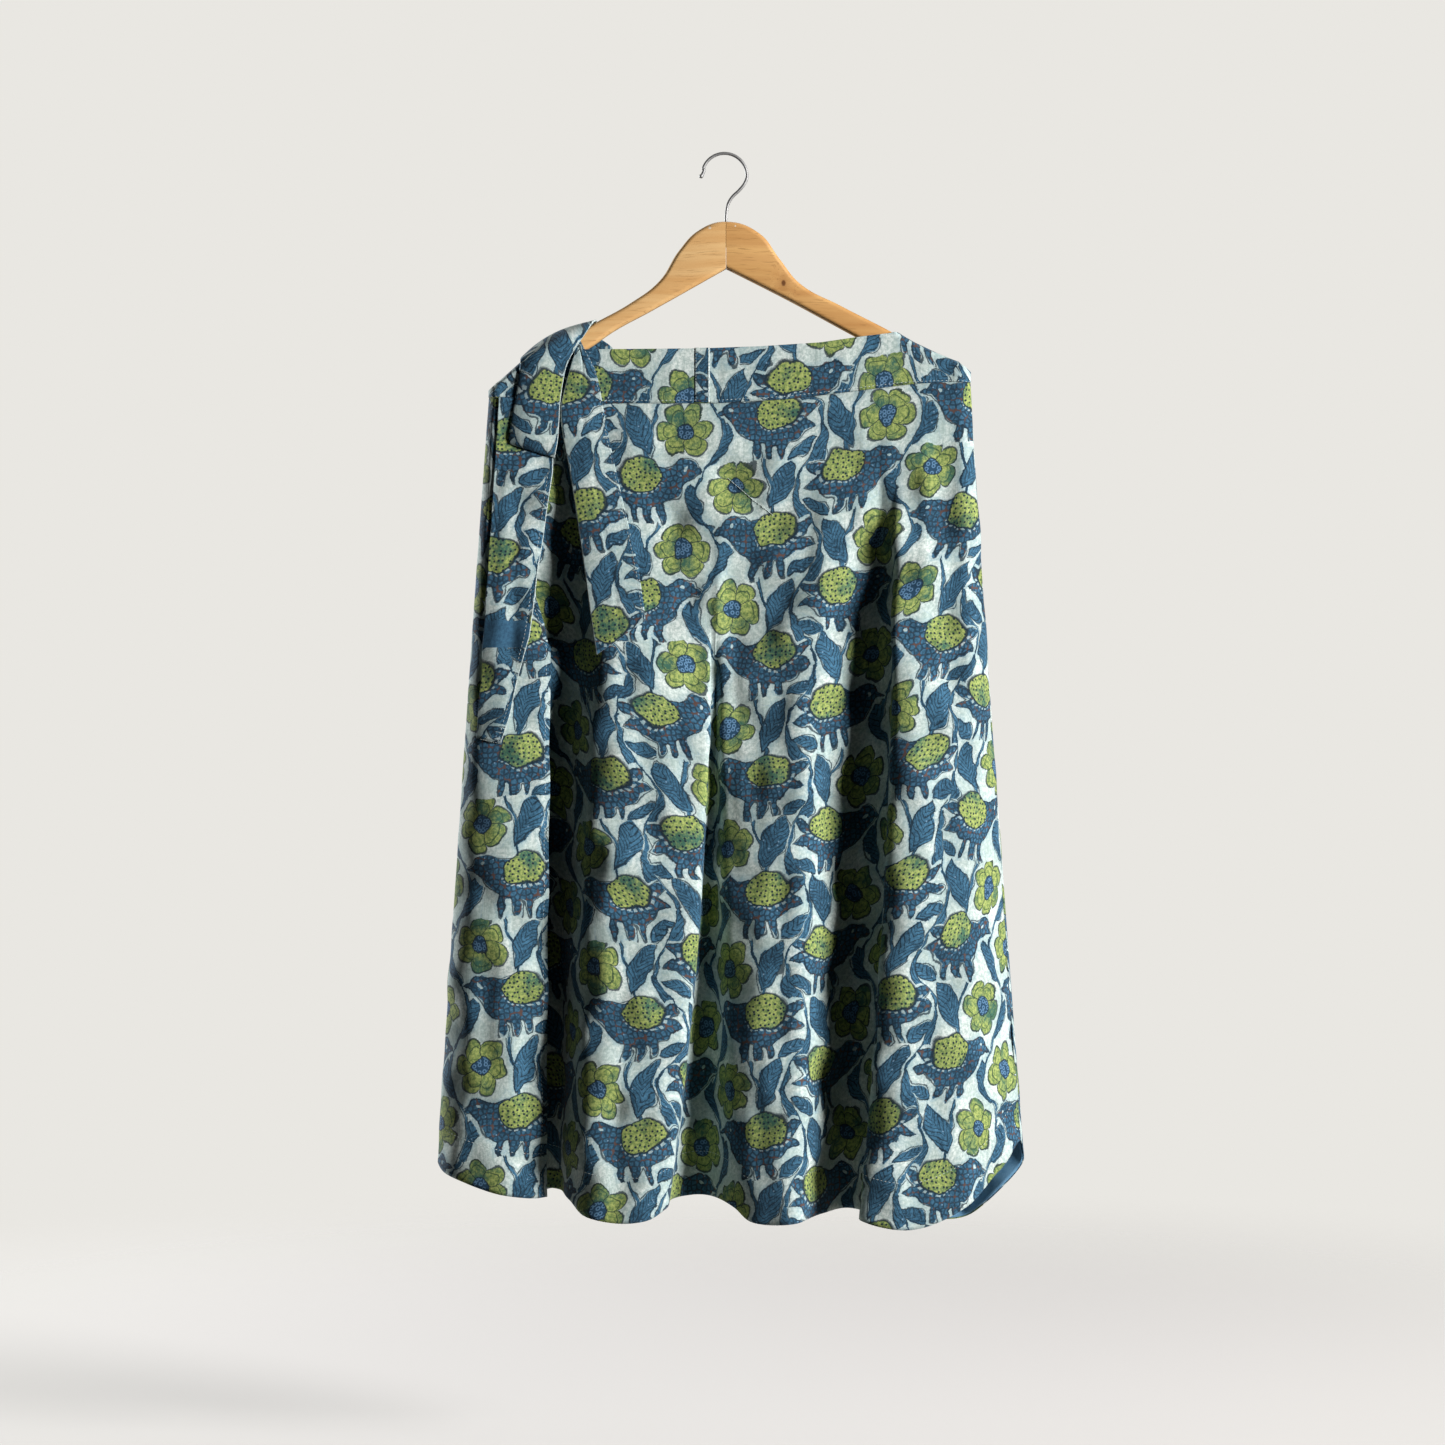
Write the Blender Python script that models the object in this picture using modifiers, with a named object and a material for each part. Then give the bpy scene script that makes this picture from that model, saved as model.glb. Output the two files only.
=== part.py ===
# Wrap skirt of block-printed cotton, hung over a wooden coat hanger.
# All sizes are in millimetres: X runs to the viewer's right, Y away from the viewer, and Z up
# from the inner top of the hook, which is the origin. Each solid is one cut or carved piece.

import math
from collections import namedtuple

import bmesh
import bpy
from mathutils import Vector

MM = 0.001

SEAM_GAP = 0.3
CLOTH = 1.2
BAND_CLOTH = 2.0
TRIM_CLOTH = 1.0
TIE_CLOTH = 1.6

HANGER_THICK = 13.0
HANGER_EDGE = 4.0
WIRE_RADIUS = 1.5
BAND_FACE = HANGER_THICK / 2 + SEAM_GAP + BAND_CLOTH / 2
WRAP_FACE = BAND_FACE + BAND_CLOTH + SEAM_GAP
ARM_ROUND = 4.5
SKIRT_TOP = -182.0
HANGER_TOP = -62.6

PRINT_PALE = (0.58, 0.66, 0.60)
PRINT_BLUE = (0.10, 0.22, 0.33)
PLAIN_BLUE = (0.08, 0.21, 0.34)
WOOD_LIGHT = (0.70, 0.45, 0.19)
WOOD_DARK = (0.57, 0.34, 0.13)
STEEL = (0.62, 0.62, 0.60)

# The cloth is one long strip: it starts behind the wrap at the left, crosses the front, turns
# round the right side, crosses the back and turns round the left side into the outer wrap.
# Each row is the line of one fold from waist to hem: where it stands across the body at the
# waist, half way down and at the hem, how far it stands forward (-) or back (+) at the hem,
# how low its hem hangs, and the share of the length above which it has died away.
Fold = namedtuple("Fold", "name x_waist x_mid x_hem y_hem z_hem starts")
FRONT_FOLDS = (
    Fold("hidden_edge", -168, -212, -246, -8, -956, 0.00),
    Fold("hidden_middle", -151, -185, -203, -11, -963, 0.08),
    Fold("gap_trough", -134, -151, -158, -12, -968, 0.08),
    Fold("left_ridge_foot", -113, -134, -141, -28, -974, 0.12),
    Fold("left_ridge_side", -94, -118, -125, -44, -986, 0.14),
    Fold("left_ridge", -71, -80, -99, -54, -992, 0.18),
    Fold("left_ridge_shoulder", -43, -38, -72, -51, -989, 0.26),
    Fold("left_ridge_lip", -24, -20, -56, -40, -980, 0.28),
    Fold("left_ridge_tuck", -18, -17, -48, -19, -975, 0.30),
    Fold("first_trough", -11, -11, -22, -10, -973, 0.32),
    Fold("middle_ridge_lip", -2, -4, 6, -26, -980, 0.30),
    Fold("middle_ridge_side", 18, 11, 20, -43, -992, 0.28),
    Fold("middle_ridge", 55, 46, 40, -48, -995, 0.24),
    Fold("middle_ridge_shoulder", 83, 74, 68, -38, -993, 0.18),
    Fold("second_trough_slope", 111, 102, 95, -22, -988, 0.14),
    Fold("second_trough", 135, 127, 112, -11, -985, 0.12),
    Fold("right_ridge_tuck", 153, 150, 131, -20, -986, 0.13),
    Fold("right_ridge_lip", 161, 152, 124, -42, -989, 0.13),
    Fold("right_ridge_side", 172, 165, 142, -52, -995, 0.13),
    Fold("right_ridge", 191, 186, 176, -54, -997, 0.13),
    Fold("right_ridge_shoulder", 208, 213, 219, -44, -979, 0.10),
    Fold("right_round", 220, 236, 256, -25, -945, 0.05),
    Fold("right_side", 228, 250, 275, 0, -921, 0.00),
)
BACK_FOLDS = (
    Fold("back_round", 221, 250, 276, 17, -943, 0.00),
    Fold("first_back_slope", 205, 228, 250, 35, -976, 0.08),
    Fold("first_back_ridge", 184, 200, 224, 46, -999, 0.12),
    Fold("first_back_side", 166, 172, 188, 37, -1004, 0.12),
    Fold("first_back_trough", 150, 146, 150, 13, -990, 0.15),
    Fold("second_back_slope", 128, 118, 112, 34, -1000, 0.18),
    Fold("second_back_ridge", 100, 88, 74, 46, -1006, 0.20),
    Fold("second_back_side", 74, 62, 42, 36, -1002, 0.20),
    Fold("second_back_trough", 52, 40, 14, 12, -988, 0.25),
    Fold("third_back_slope", 28, 14, -20, 32, -998, 0.22),
    Fold("third_back_ridge", 0, -20, -62, 48, -1006, 0.18),
    Fold("third_back_side", -34, -56, -102, 40, -1000, 0.16),
    Fold("third_back_trough", -60, -88, -134, 14, -984, 0.15),
    Fold("fourth_back_slope", -90, -118, -158, 30, -988, 0.14),
    Fold("fourth_back_ridge", -130, -155, -192, 42, -990, 0.12),
    Fold("fourth_back_side", -172, -196, -230, 33, -975, 0.10),
    Fold("fourth_back_turn", -200, -222, -247, 26, -964, 0.06),
    Fold("left_back_round", -213, -235, -258, 14, -954, 0.04),
    Fold("left_side", -221, -246, -269, 0, -941, 0.00),
)
WRAP_FOLDS = (
    Fold("wrap_round", -216, -240, -261, -12, -950, 0.00),
    Fold("wrap_left", -205, -224, -240, -21, -959, 0.10),
    Fold("wrap_middle", -188, -197, -210, -27, -968, 0.12),
    Fold("wrap_right", -172, -177, -182, -31, -972, 0.12),
    Fold("wrap_edge", -160, -165, -166, -29, -972, 0.12),
)
ALL_FOLDS = FRONT_FOLDS + BACK_FOLDS + WRAP_FOLDS
RIGHT_SIDE = len(FRONT_FOLDS) - 1
LEFT_SIDE = RIGHT_SIDE + len(BACK_FOLDS)
WRAP_EDGE = LEFT_SIDE + len(WRAP_FOLDS)
PANEL_ROWS = 16

# Height of the seam between band and panels, and of the band's top, across the body.
SEAM_LINE = (
    (-221, -227), (-168, -229), (-125, -233), (-10, -233),
    (60, -229), (174, -215), (202, -213), (228, -213),
)
BAND_TOP = (
    (-222, -221.7), (-205, -206.7), (-190, -193.2), (-174, -184.3), (-170, -182.0),
    (-166, -181.2), (-158, -182.6), (-118, -182.4), (-24, -181.6), (32, -179.6),
    (88, -176.0), (128, -170.2), (152, -167.4), (157, -166.2), (161, -167.4),
    (165, -169.8), (176, -176.2), (197, -186.2), (216, -193.8), (222, -198.2), (228, -203.4),
)
# The band lies over an arm of the hanger from each crossing to the arm's end. It stands free
# between the crossings, where its back hangs lower than its front, and open past the ends.
LEFT_CROSSING = -166.0
RIGHT_CROSSING = 157.0
LEFT_ARM_END = -209.0
RIGHT_ARM_END = 213.0
CROSSING_WIDTH = 8.0
BACK_SAG = 6.0
BACK_SAG_RUN = 40.0
# How the band turns over an arm: share of its depth from the middle, share of the drop there,
# and share of the drop where the top edge stands free.
ARM_TURN = (0.0, 0.0, 0.0), (0.35, 0.0, 0.25), (0.80, 0.33, 0.6), (1.0, 1.0, 1.0)
BAND_STANDS = (
    -125, -94, -45, -10, 25, 60, 88, 117, 146, 154, 157, 160, 163, 166, 174, 187, 202, 216,
)
LEFT_STANDS = (-214, -205, -197, -190, -181, -173)
LEFT_CROSSING_STANDS = (-174, -172, -170, -168, -166, -160)
SIDE_TURN = 0.06, 0.35, 0.7

# Where the edges of the pocket front and of the wrap run, as shares of the length from the
# waist seam and places across the body.
POCKET_MOUTH = (
    (0.00, -160), (0.08, -160), (0.15, -168), (0.21, -175), (0.25, -178),
    (0.30, -183), (0.35, -193), (0.395, -200), (0.4375, -209),
)
POCKET_SIDE = (0.00, -212), (0.4375, -231)
POCKET_EASE = 0.4
POCKET_ROWS = 7
WRAP_FREE_EDGE = (0.00, -180), (0.20, -180), (0.25, -177), (0.28, -170), (0.31, -165.5)

# The band's end is pulled up over the left arm: its rows run from behind the arm over the top
# and down the front to the tuck, each from its left edge to its free right edge.
CrossRow = namedtuple("CrossRow", "name x_left z_left x_right z_right y puff")
BAND_END = (
    CrossRow("behind_low", -186, -226, -148, -210, 10.6, 0.0),
    CrossRow("behind_middle", -188, -210, -138, -186, 11.0, 1.0),
    CrossRow("behind_top", -189, -198, -128, -164, 10.4, 3.0),
    CrossRow("over_back", -190, -191, -123, -156.6, 6.8, 7.5),
    CrossRow("over_top", -191, -190.6, -121, -154.8, 0.0, 8.0),
    CrossRow("over_front", -191, -190.8, -124, -157.0, -7.4, 7.0),
    CrossRow("front_top", -191.5, -194.6, -130, -167, -12.6, 5.0),
    CrossRow("front_high", -192.5, -204, -139, -180, -13.2, 4.0),
    CrossRow("front_upper", -194, -216, -148, -197, -13.6, 3.0),
    CrossRow("front_middle", -196, -229, -152, -215, -13.9, 2.5),
    CrossRow("front_lower", -198.5, -242, -154.5, -233, -14.3, 2.5),
    CrossRow("front_low", -200.5, -254, -155.5, -252, -15.4, 2.5),
    CrossRow("roll", -202, -262, -156.5, -268, -17.0, 2.0),
    CrossRow("roll_under", -202, -268, -158.5, -279, -16.0, 1.0),
    CrossRow("tuck", -201, -271, -159.5, -284, -13.9, 0.0),
)
BAND_END_STEPS = 6
OVER_ARM_REACH = 11.0

# The tie goes from inside the waist up behind the left arm, over it and down the front.
TIE = (
    CrossRow("inside_waist", -122, -204, -100, -207, 5.0, 0.0),
    CrossRow("waist_top", -124, -193, -102, -195, 5.2, 0.0),
    CrossRow("below_arm", -126, -188, -104, -187.5, 5.8, 0.0),
    CrossRow("behind_arm", -131.5, -181, -108, -178, 7.7, 0.0),
    CrossRow("behind_top", -148, -173, -130, -164, 7.7, 0.0),
    CrossRow("over_back", -152, -172.4, -135, -163.0, 4.2, 0.0),
    CrossRow("over_arm", -154, -172.4, -138, -163.2, 0.0, 0.0),
    CrossRow("over_front", -153.5, -172.8, -138.5, -164.4, -4.2, 0.0),
    CrossRow("front_top", -152, -176, -139, -169, -7.8, 0.0),
    CrossRow("in_front", -147, -180, -135, -176, -8.9, 0.0),
    CrossRow("knot", -141, -184, -132, -182.6, -10.6, 0.5),
    CrossRow("tail_top", -144, -196, -123, -199, -10.7, 1.0),
    CrossRow("tail_high", -150, -218, -118, -218, -10.7, 1.2),
    CrossRow("tail_upper", -154, -238, -114, -240, -10.7, 1.2),
    CrossRow("tail_bend", -152, -262, -109, -266, -11.2, 1.2),
    CrossRow("tail_middle", -145, -300, -101, -303, -12.8, 1.2),
    CrossRow("tail_lower", -138, -345, -91, -346, -15.4, 1.2),
    CrossRow("tail_low", -131, -392, -82, -386, -19.5, 1.2),
    CrossRow("tail_end", -125, -436, -76, -424, -24.0, 1.2),
    CrossRow("tail_tip", -120, -468, -75, -436, -27.5, 1.2),
)
TIE_STEPS = 4

SLOT_LEFT, SLOT_RIGHT = -29.5, -15.0
SLOT_TOP, SLOT_FOOT = -181.0, -232.0

FACING_TOP = 0.942
FACING_FOOT = 0.997

HANGER_OUTLINE = (
    (0, -62.6), (31, -73.5), (50, -97.5), (69, -120.5), (107, -141.2), (158, -167.6),
    (176, -178.2), (197, -188.2), (208, -194.4), (214.5, -202.5), (210, -209.5), (200, -209.0),
    (158, -189.5), (118, -168.5), (58, -136.0),
    (0, -106.6),
    (-70, -146.0), (-104, -164.5), (-128, -181.0), (-171, -206.0), (-200, -223.0),
    (-208, -222.5), (-210, -216.0), (-204, -209.6), (-190, -196.0), (-171, -184.7),
    (-121, -156.6), (-90, -139.3), (-62, -118.0), (-44, -90.0), (-25, -70.5),
)
HANGER_NOTCH = 15
SOCKET_DEPTH = 24.0

HOOK_RADIUS = 21.0
HOOK_CENTRE_X = -1.5
HOOK_STEM = ((14.0, -32.0), (6.5, -38.5), (1.5, -46.0), (0.2, -54.0), (0.0, -62.0))
HOOK_TIP = ((-20.5, -14.0), (-22.5, -19.0), (-25.0, -21.0))
HOOK_BALL = 2.1


def clear_scene():
    for found in list(bpy.data.objects):
        bpy.data.objects.remove(found, do_unlink=True)


def collection(name, hidden=False):
    made = bpy.data.collections.new(name)
    bpy.context.scene.collection.children.link(made)
    made.hide_render = hidden
    return made


def material(name, colour, roughness, metallic=0.0):
    made = bpy.data.materials.new(name)
    made.use_nodes = True
    shader = made.node_tree.nodes["Principled BSDF"]
    shader.inputs["Base Color"].default_value = (*colour, 1.0)
    shader.inputs["Roughness"].default_value = roughness
    shader.inputs["Metallic"].default_value = metallic
    return made


def along(line, at):
    """The value at a place on a line given as (place, value) pairs in rising order."""
    if at <= line[0][0]:
        return line[0][1]
    for (start, low), (end, high) in zip(line, line[1:]):
        if at <= end:
            return low + (high - low) * (at - start) / (end - start)
    return line[-1][1]


def smooth(share):
    share = min(max(share, 0.0), 1.0)
    return share * share * (3 - 2 * share)


def waist_depth(fold, face):
    """How far a fold's line stands from the middle plane at the waist seam."""
    return min(max(fold.y_hem, -face), face)


def fold_point(index, down):
    """A point on one fold's line: down is 0 at the waist seam and 1 at the hem."""
    fold = ALL_FOLDS[index]
    at_waist = (down - 0.5) * (down - 1) * 2
    at_mid = down * (1 - down) * 4
    at_hem = down * (down - 0.5) * 2
    x = fold.x_waist * at_waist + fold.x_mid * at_mid + fold.x_hem * at_hem
    y_waist = waist_depth(fold, WRAP_FACE if index > LEFT_SIDE else BAND_FACE)
    grown = min(max((down - fold.starts) / (1 - fold.starts), 0.0), 1.0)
    y = y_waist + (fold.y_hem - y_waist) * (1 - (1 - grown) ** 2)
    top = along(SEAM_LINE, fold.x_waist)
    return Vector((x, y, top + (fold.z_hem - top) * down))


def through(before, start, end, after, share):
    """A point on the smooth curve through four points, between the middle two."""
    points = (before, start, end, after)
    knots = [0.0]
    for one, two in zip(points, points[1:]):
        knots.append(knots[-1] + max(math.sqrt((two - one).length), 1e-3))
    at = knots[1] + (knots[2] - knots[1]) * share

    def blend(one, two, low, high):
        return one.lerp(two, (at - knots[low]) / (knots[high] - knots[low]))

    first, middle, last = (
        blend(points[i], points[i + 1], i, i + 1) for i in range(3)
    )
    return blend(blend(first, middle, 0, 2), blend(middle, last, 1, 3), 1, 2)


def cloth_point(place, down):
    """A point of the strip of cloth: place counts the fold lines from the hidden edge."""
    index = min(int(place), WRAP_EDGE - 1)
    near = [fold_point(min(max(index + step, 0), WRAP_EDGE), down) for step in (-1, 0, 1, 2)]
    if index == 0:
        near[0] = near[1] * 2 - near[2]
    if index == WRAP_EDGE - 1:
        near[3] = near[2] * 2 - near[1]
    return through(*near, place - index)


def place_at(x, down, low, high):
    """The place on the strip, between two others, that stands at x."""
    rises = cloth_point(high, down).x > cloth_point(low, down).x
    for _ in range(30):
        middle = (low + high) / 2
        if (cloth_point(middle, down).x < x) == rises:
            low = middle
        else:
            high = middle
    return low


def moved_out(row, distance):
    """The row moved away from the body by a distance, square to each stretch of it."""
    ways = [(two - one).xy.normalized() for one, two in zip(row, row[1:])]
    ways = [ways[0], *ways, ways[-1]]
    moved = []
    for point, before, after in zip(row, ways, ways[1:]):
        way = (before + after).normalized()
        reach = distance / max(way.dot(before), 0.5)
        moved.append(point + Vector((way.y, -way.x, 0.0)) * reach)
    return moved


def shares(count, low=0.0, high=1.0):
    return [low + (high - low) * step / count for step in range(count + 1)]


def parted(row, start=False, end=False):
    """The row with its end points drawn back by half a seam gap."""
    row = list(row)
    if start:
        row[0] = row[0] + (row[1] - row[0]).normalized() * SEAM_GAP / 2
    if end:
        row[-1] = row[-1] + (row[-2] - row[-1]).normalized() * SEAM_GAP / 2
    return row


def sheet_object(name, rows, thickness, finish, parent, parts):
    """A sheet through rows of points, thickened evenly on both sides."""
    mesh = bpy.data.meshes.new(name)
    form = bmesh.new()
    grid = [[form.verts.new(point * MM - parent.location) for point in row] for row in rows]
    for upper, lower in zip(grid, grid[1:]):
        for left in range(len(upper) - 1):
            form.faces.new((upper[left], lower[left], lower[left + 1], upper[left + 1]))
    bmesh.ops.recalc_face_normals(form, faces=form.faces)
    form.to_mesh(mesh)
    form.free()
    made = bpy.data.objects.new(name, mesh)
    made.parent = parent
    mesh.materials.append(finish)
    wall = made.modifiers.new("wall", "SOLIDIFY")
    wall.thickness = thickness * MM
    wall.offset = 0.0
    wall.use_even_offset = True
    mesh.shade_smooth()
    parts.objects.link(made)
    return made


def panel_places(first, last, steps):
    """Places across a panel, with one more close to each side seam, where the cloth turns."""
    places = shares((last - first) * steps, first, last)
    if first > 0:
        places.insert(1, first + SIDE_TURN[0])
    places.insert(-1, last - SIDE_TURN[0])
    return places


def panel(name, first, last, steps, finish, parent, parts):
    places = panel_places(first, last, steps)
    rows = [
        parted((cloth_point(place, down) for place in places), start=first > 0, end=last < WRAP_EDGE)
        for down in shares(PANEL_ROWS)
    ]
    return sheet_object(name, rows, CLOTH, finish, parent, parts)


def wrap_panel(finish, parent, parts):
    """The outer wrap: its free edge draws back under the pocket front near the waist."""
    rows = []
    for down in shares(PANEL_ROWS):
        edge = float(WRAP_EDGE)
        if down < WRAP_FREE_EDGE[-1][0]:
            edge = place_at(along(WRAP_FREE_EDGE, down), down, LEFT_SIDE + 1.0, edge)
        places = shares(12, LEFT_SIDE, edge)
        places.insert(1, LEFT_SIDE + SIDE_TURN[0])
        rows.append(parted((cloth_point(place, down) for place in places), start=True))
    return sheet_object("wrap_panel", rows, CLOTH, finish, parent, parts)


def pocket_front(finish, parent, parts):
    """The layer over the wrap whose slanted right edge is the pocket mouth."""
    rise = CLOTH / 2 + SEAM_GAP + POCKET_EASE + TRIM_CLOTH / 2
    rows = []
    for down in shares(POCKET_ROWS, 0.0, POCKET_MOUTH[-1][0]):
        side = place_at(along(POCKET_SIDE, down), down, LEFT_SIDE + 0.2, WRAP_EDGE)
        mouth = place_at(along(POCKET_MOUTH, down), down, LEFT_SIDE + 1.0, WRAP_EDGE)
        row = [cloth_point(place, down) for place in shares(12, side, mouth)]
        rows.append(moved_out(row, rise))
    return sheet_object("pocket_front", rows, TRIM_CLOTH, finish, parent, parts)


def over_arm(x, on_left_arm):
    """1 where the band lies over an arm of the hanger, 0 where its top edge stands free."""
    right = smooth((x - RIGHT_CROSSING) / CROSSING_WIDTH)
    right *= 1 - smooth((x - RIGHT_ARM_END) / CROSSING_WIDTH)
    left = smooth((LEFT_CROSSING - x) / CROSSING_WIDTH)
    left *= 1 - smooth((LEFT_ARM_END - x) / CROSSING_WIDTH)
    return max(right, left) if on_left_arm else right


def back_drop(x):
    """How much lower the back of the band hangs than its front, between the arms."""
    inner = min(RIGHT_CROSSING - x, x - LEFT_CROSSING)
    return BACK_SAG * smooth(inner / BACK_SAG_RUN)


def band_column(place, side, on_left_arm):
    """Points of the band from its top edge, or the fold over the arm, down to the seam."""
    foot = cloth_point(place, 0.0)
    lies_over = over_arm(foot.x, on_left_arm)
    top = along(BAND_TOP, foot.x) - (back_drop(foot.x) if side > 0 else 0.0)
    low = foot.z + SEAM_GAP
    drop = min(ARM_ROUND, (top - low) / 2)
    column = []
    for depth, fall, free_fall in ARM_TURN:
        arm_y = side * max(abs(foot.y) * depth, SEAM_GAP / 2)
        y = foot.y + (arm_y - foot.y) * lies_over
        z = top - drop * (free_fall + (fall - free_fall) * lies_over)
        column.append(Vector((foot.x, y, z)))
    for share in (0.45, 1.0):
        column.append(Vector((foot.x, foot.y, top - drop + (low - top + drop) * share)))
    return column


def waistband(name, places, side, ends, finish, parent, parts):
    on_left_arm = places[-1] >= LEFT_SIDE
    columns = [band_column(place, side, on_left_arm) for place in places]
    rows = [parted(row, start=ends[0], end=ends[1]) for row in zip(*columns)]
    return sheet_object(name, rows, BAND_CLOTH, finish, parent, parts)


def front_band_places():
    stands = [place_at(x, 0.0, 0.0, RIGHT_SIDE - 1.0) for x in BAND_STANDS]
    return [0.0, *stands, *(RIGHT_SIDE - turn for turn in reversed(SIDE_TURN)), RIGHT_SIDE]


def back_band_places():
    stands = LEFT_STANDS[:4] + LEFT_CROSSING_STANDS + BAND_STANDS
    middle = [place_at(x, 0.0, RIGHT_SIDE + 1.0, LEFT_SIDE - 1.0) for x in reversed(stands)]
    right = [RIGHT_SIDE, *(RIGHT_SIDE + turn for turn in SIDE_TURN)]
    left = [*(LEFT_SIDE - turn for turn in reversed(SIDE_TURN)), LEFT_SIDE]
    return [*right, *middle, *left]


def side_band_places():
    stands = [place_at(x, 0.0, LEFT_SIDE + 1.0, WRAP_EDGE) for x in LEFT_STANDS]
    return [LEFT_SIDE, *(LEFT_SIDE + turn for turn in SIDE_TURN), *stands]


def hem_facing(name, first, last, steps, finish, parent, parts):
    """A plain strip inside the hem, made from the panel's own points moved in."""
    depth = -(CLOTH / 2 + SEAM_GAP + TRIM_CLOTH / 2)
    places = panel_places(first, last, steps)[1:-1]
    rows = [
        moved_out([cloth_point(place, down) for place in places], depth)
        for down in shares(2, FACING_TOP, FACING_FOOT)
    ]
    return sheet_object(name, rows, TRIM_CLOTH, finish, parent, parts)


def crossed_row(row, steps, puffed):
    """Points from the left to the right end of a table row, raised in the middle."""
    points = []
    for share in shares(steps):
        lift = row.puff * math.sin(math.pi * share ** 0.8)
        x = row.x_left + (row.x_right - row.x_left) * share
        z = row.z_left + (row.z_right - row.z_left) * share
        points.append(puffed(x, row.y, z, lift))
    return points


def puff_band_end(x, y, z, lift):
    """The band's end swells upwards over the arm and forwards below it."""
    over = max(0.0, 1.0 - abs(y) / OVER_ARM_REACH)
    return Vector((x, y + math.copysign(lift * (1 - over), y), z + lift * over))


def puff_tie(x, y, z, lift):
    return Vector((x, y - lift, z))


def band_slot(finish, parent, parts):
    y = -(BAND_FACE + BAND_CLOTH / 2 + SEAM_GAP + TRIM_CLOTH / 2)
    rows = [
        [Vector((x, y, z)) for x in shares(2, SLOT_LEFT, SLOT_RIGHT)]
        for z in shares(3, SLOT_TOP, SLOT_FOOT)
    ]
    return sheet_object("band_slot", rows, TRIM_CLOTH, finish, parent, parts)


def box_cutter(name, low, high, cutters):
    form = bmesh.new()
    bmesh.ops.create_cube(form, size=1.0)
    middle, size = (low + high) / 2, high - low
    bmesh.ops.scale(form, vec=size * MM, verts=form.verts)
    bmesh.ops.translate(form, vec=middle * MM, verts=form.verts)
    mesh = bpy.data.meshes.new(name)
    form.to_mesh(mesh)
    form.free()
    return hidden_cutter(name, mesh, cutters)


def hidden_cutter(name, mesh, cutters):
    made = bpy.data.objects.new(name, mesh)
    made.hide_render = True
    made.display_type = "WIRE"
    cutters.objects.link(made)
    return made


def socket_cutter(cutters):
    """The round hole that the hook's stem is pressed into, half in each side of the wood."""
    form = bmesh.new()
    radius = (WIRE_RADIUS + SEAM_GAP) * MM
    bmesh.ops.create_cone(
        form, cap_ends=True, segments=16, radius1=radius, radius2=radius,
        depth=(SOCKET_DEPTH * 2) * MM,
    )
    bmesh.ops.translate(form, vec=(0, 0, HANGER_TOP * MM), verts=form.verts)
    mesh = bpy.data.meshes.new("stem_socket")
    form.to_mesh(mesh)
    form.free()
    return hidden_cutter("stem_socket", mesh, cutters)


def cut(target, cutter):
    boolean = target.modifiers.new(cutter.name, "BOOLEAN")
    boolean.object = cutter
    boolean.operation = "DIFFERENCE"
    boolean.solver = "EXACT"


def hanger_board(graph_name):
    """The hanger's whole outline as a flat board with rounded edges, made a mesh."""
    outline = bpy.data.curves.new(graph_name, "CURVE")
    outline.dimensions = "2D"
    outline.fill_mode = "BOTH"
    outline.extrude = HANGER_THICK / 2 * MM
    outline.resolution_u = 3
    spline = outline.splines.new("BEZIER")
    spline.bezier_points.add(len(HANGER_OUTLINE) - 1)
    spline.use_cyclic_u = True
    for index, (x, z) in enumerate(HANGER_OUTLINE):
        point = spline.bezier_points[index]
        point.co = (x * MM, z * MM, 0.0)
        kind = "VECTOR" if index == HANGER_NOTCH else "AUTO"
        point.handle_left_type = kind
        point.handle_right_type = kind
    guide = bpy.data.objects.new(graph_name, outline)
    guide.rotation_euler = (math.radians(90), 0, 0)
    bpy.context.scene.collection.objects.link(guide)
    graph = bpy.context.evaluated_depsgraph_get()
    mesh = bpy.data.meshes.new_from_object(guide.evaluated_get(graph))
    mesh.transform(guide.matrix_world)
    bpy.data.objects.remove(guide, do_unlink=True)
    form = bmesh.new()
    form.from_mesh(mesh)
    bmesh.ops.remove_doubles(form, verts=form.verts, dist=1e-6)
    bmesh.ops.dissolve_limit(
        form, angle_limit=math.radians(0.5), verts=form.verts, edges=form.edges
    )
    rims = [
        edge for edge in form.edges
        if len(edge.link_faces) == 2 and edge.calc_face_angle() > math.radians(60)
        and abs(edge.verts[0].co.y - edge.verts[1].co.y) < 1e-6
    ]
    bmesh.ops.bevel(
        form, geom=rims, offset=HANGER_EDGE * MM, segments=2, profile=0.5,
        affect="EDGES", material=-1, clamp_overlap=True,
    )
    bmesh.ops.recalc_face_normals(form, faces=form.faces)
    form.to_mesh(mesh)
    form.free()
    return mesh


def hanger_half(name, board, side, socket, finish, parent, parts, cutters):
    """One carved half of the hanger: the board without the other half and the stem's hole."""
    mesh = board.copy()
    mesh.materials.clear()
    mesh.materials.append(finish)
    made = bpy.data.objects.new(name, mesh)
    made.parent = parent
    made.matrix_parent_inverse = parent.matrix_world.inverted()
    parts.objects.link(made)
    reach = 300.0
    low = Vector((-reach if side > 0 else -SEAM_GAP / 2, -40, -300))
    high = Vector((SEAM_GAP / 2 if side > 0 else reach, 40, 0))
    cut(made, box_cutter(name + "_trim", low, high, cutters))
    cut(made, socket)
    mesh.shade_smooth()
    mesh.set_sharp_from_angle(angle=math.radians(40))
    return made


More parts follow.
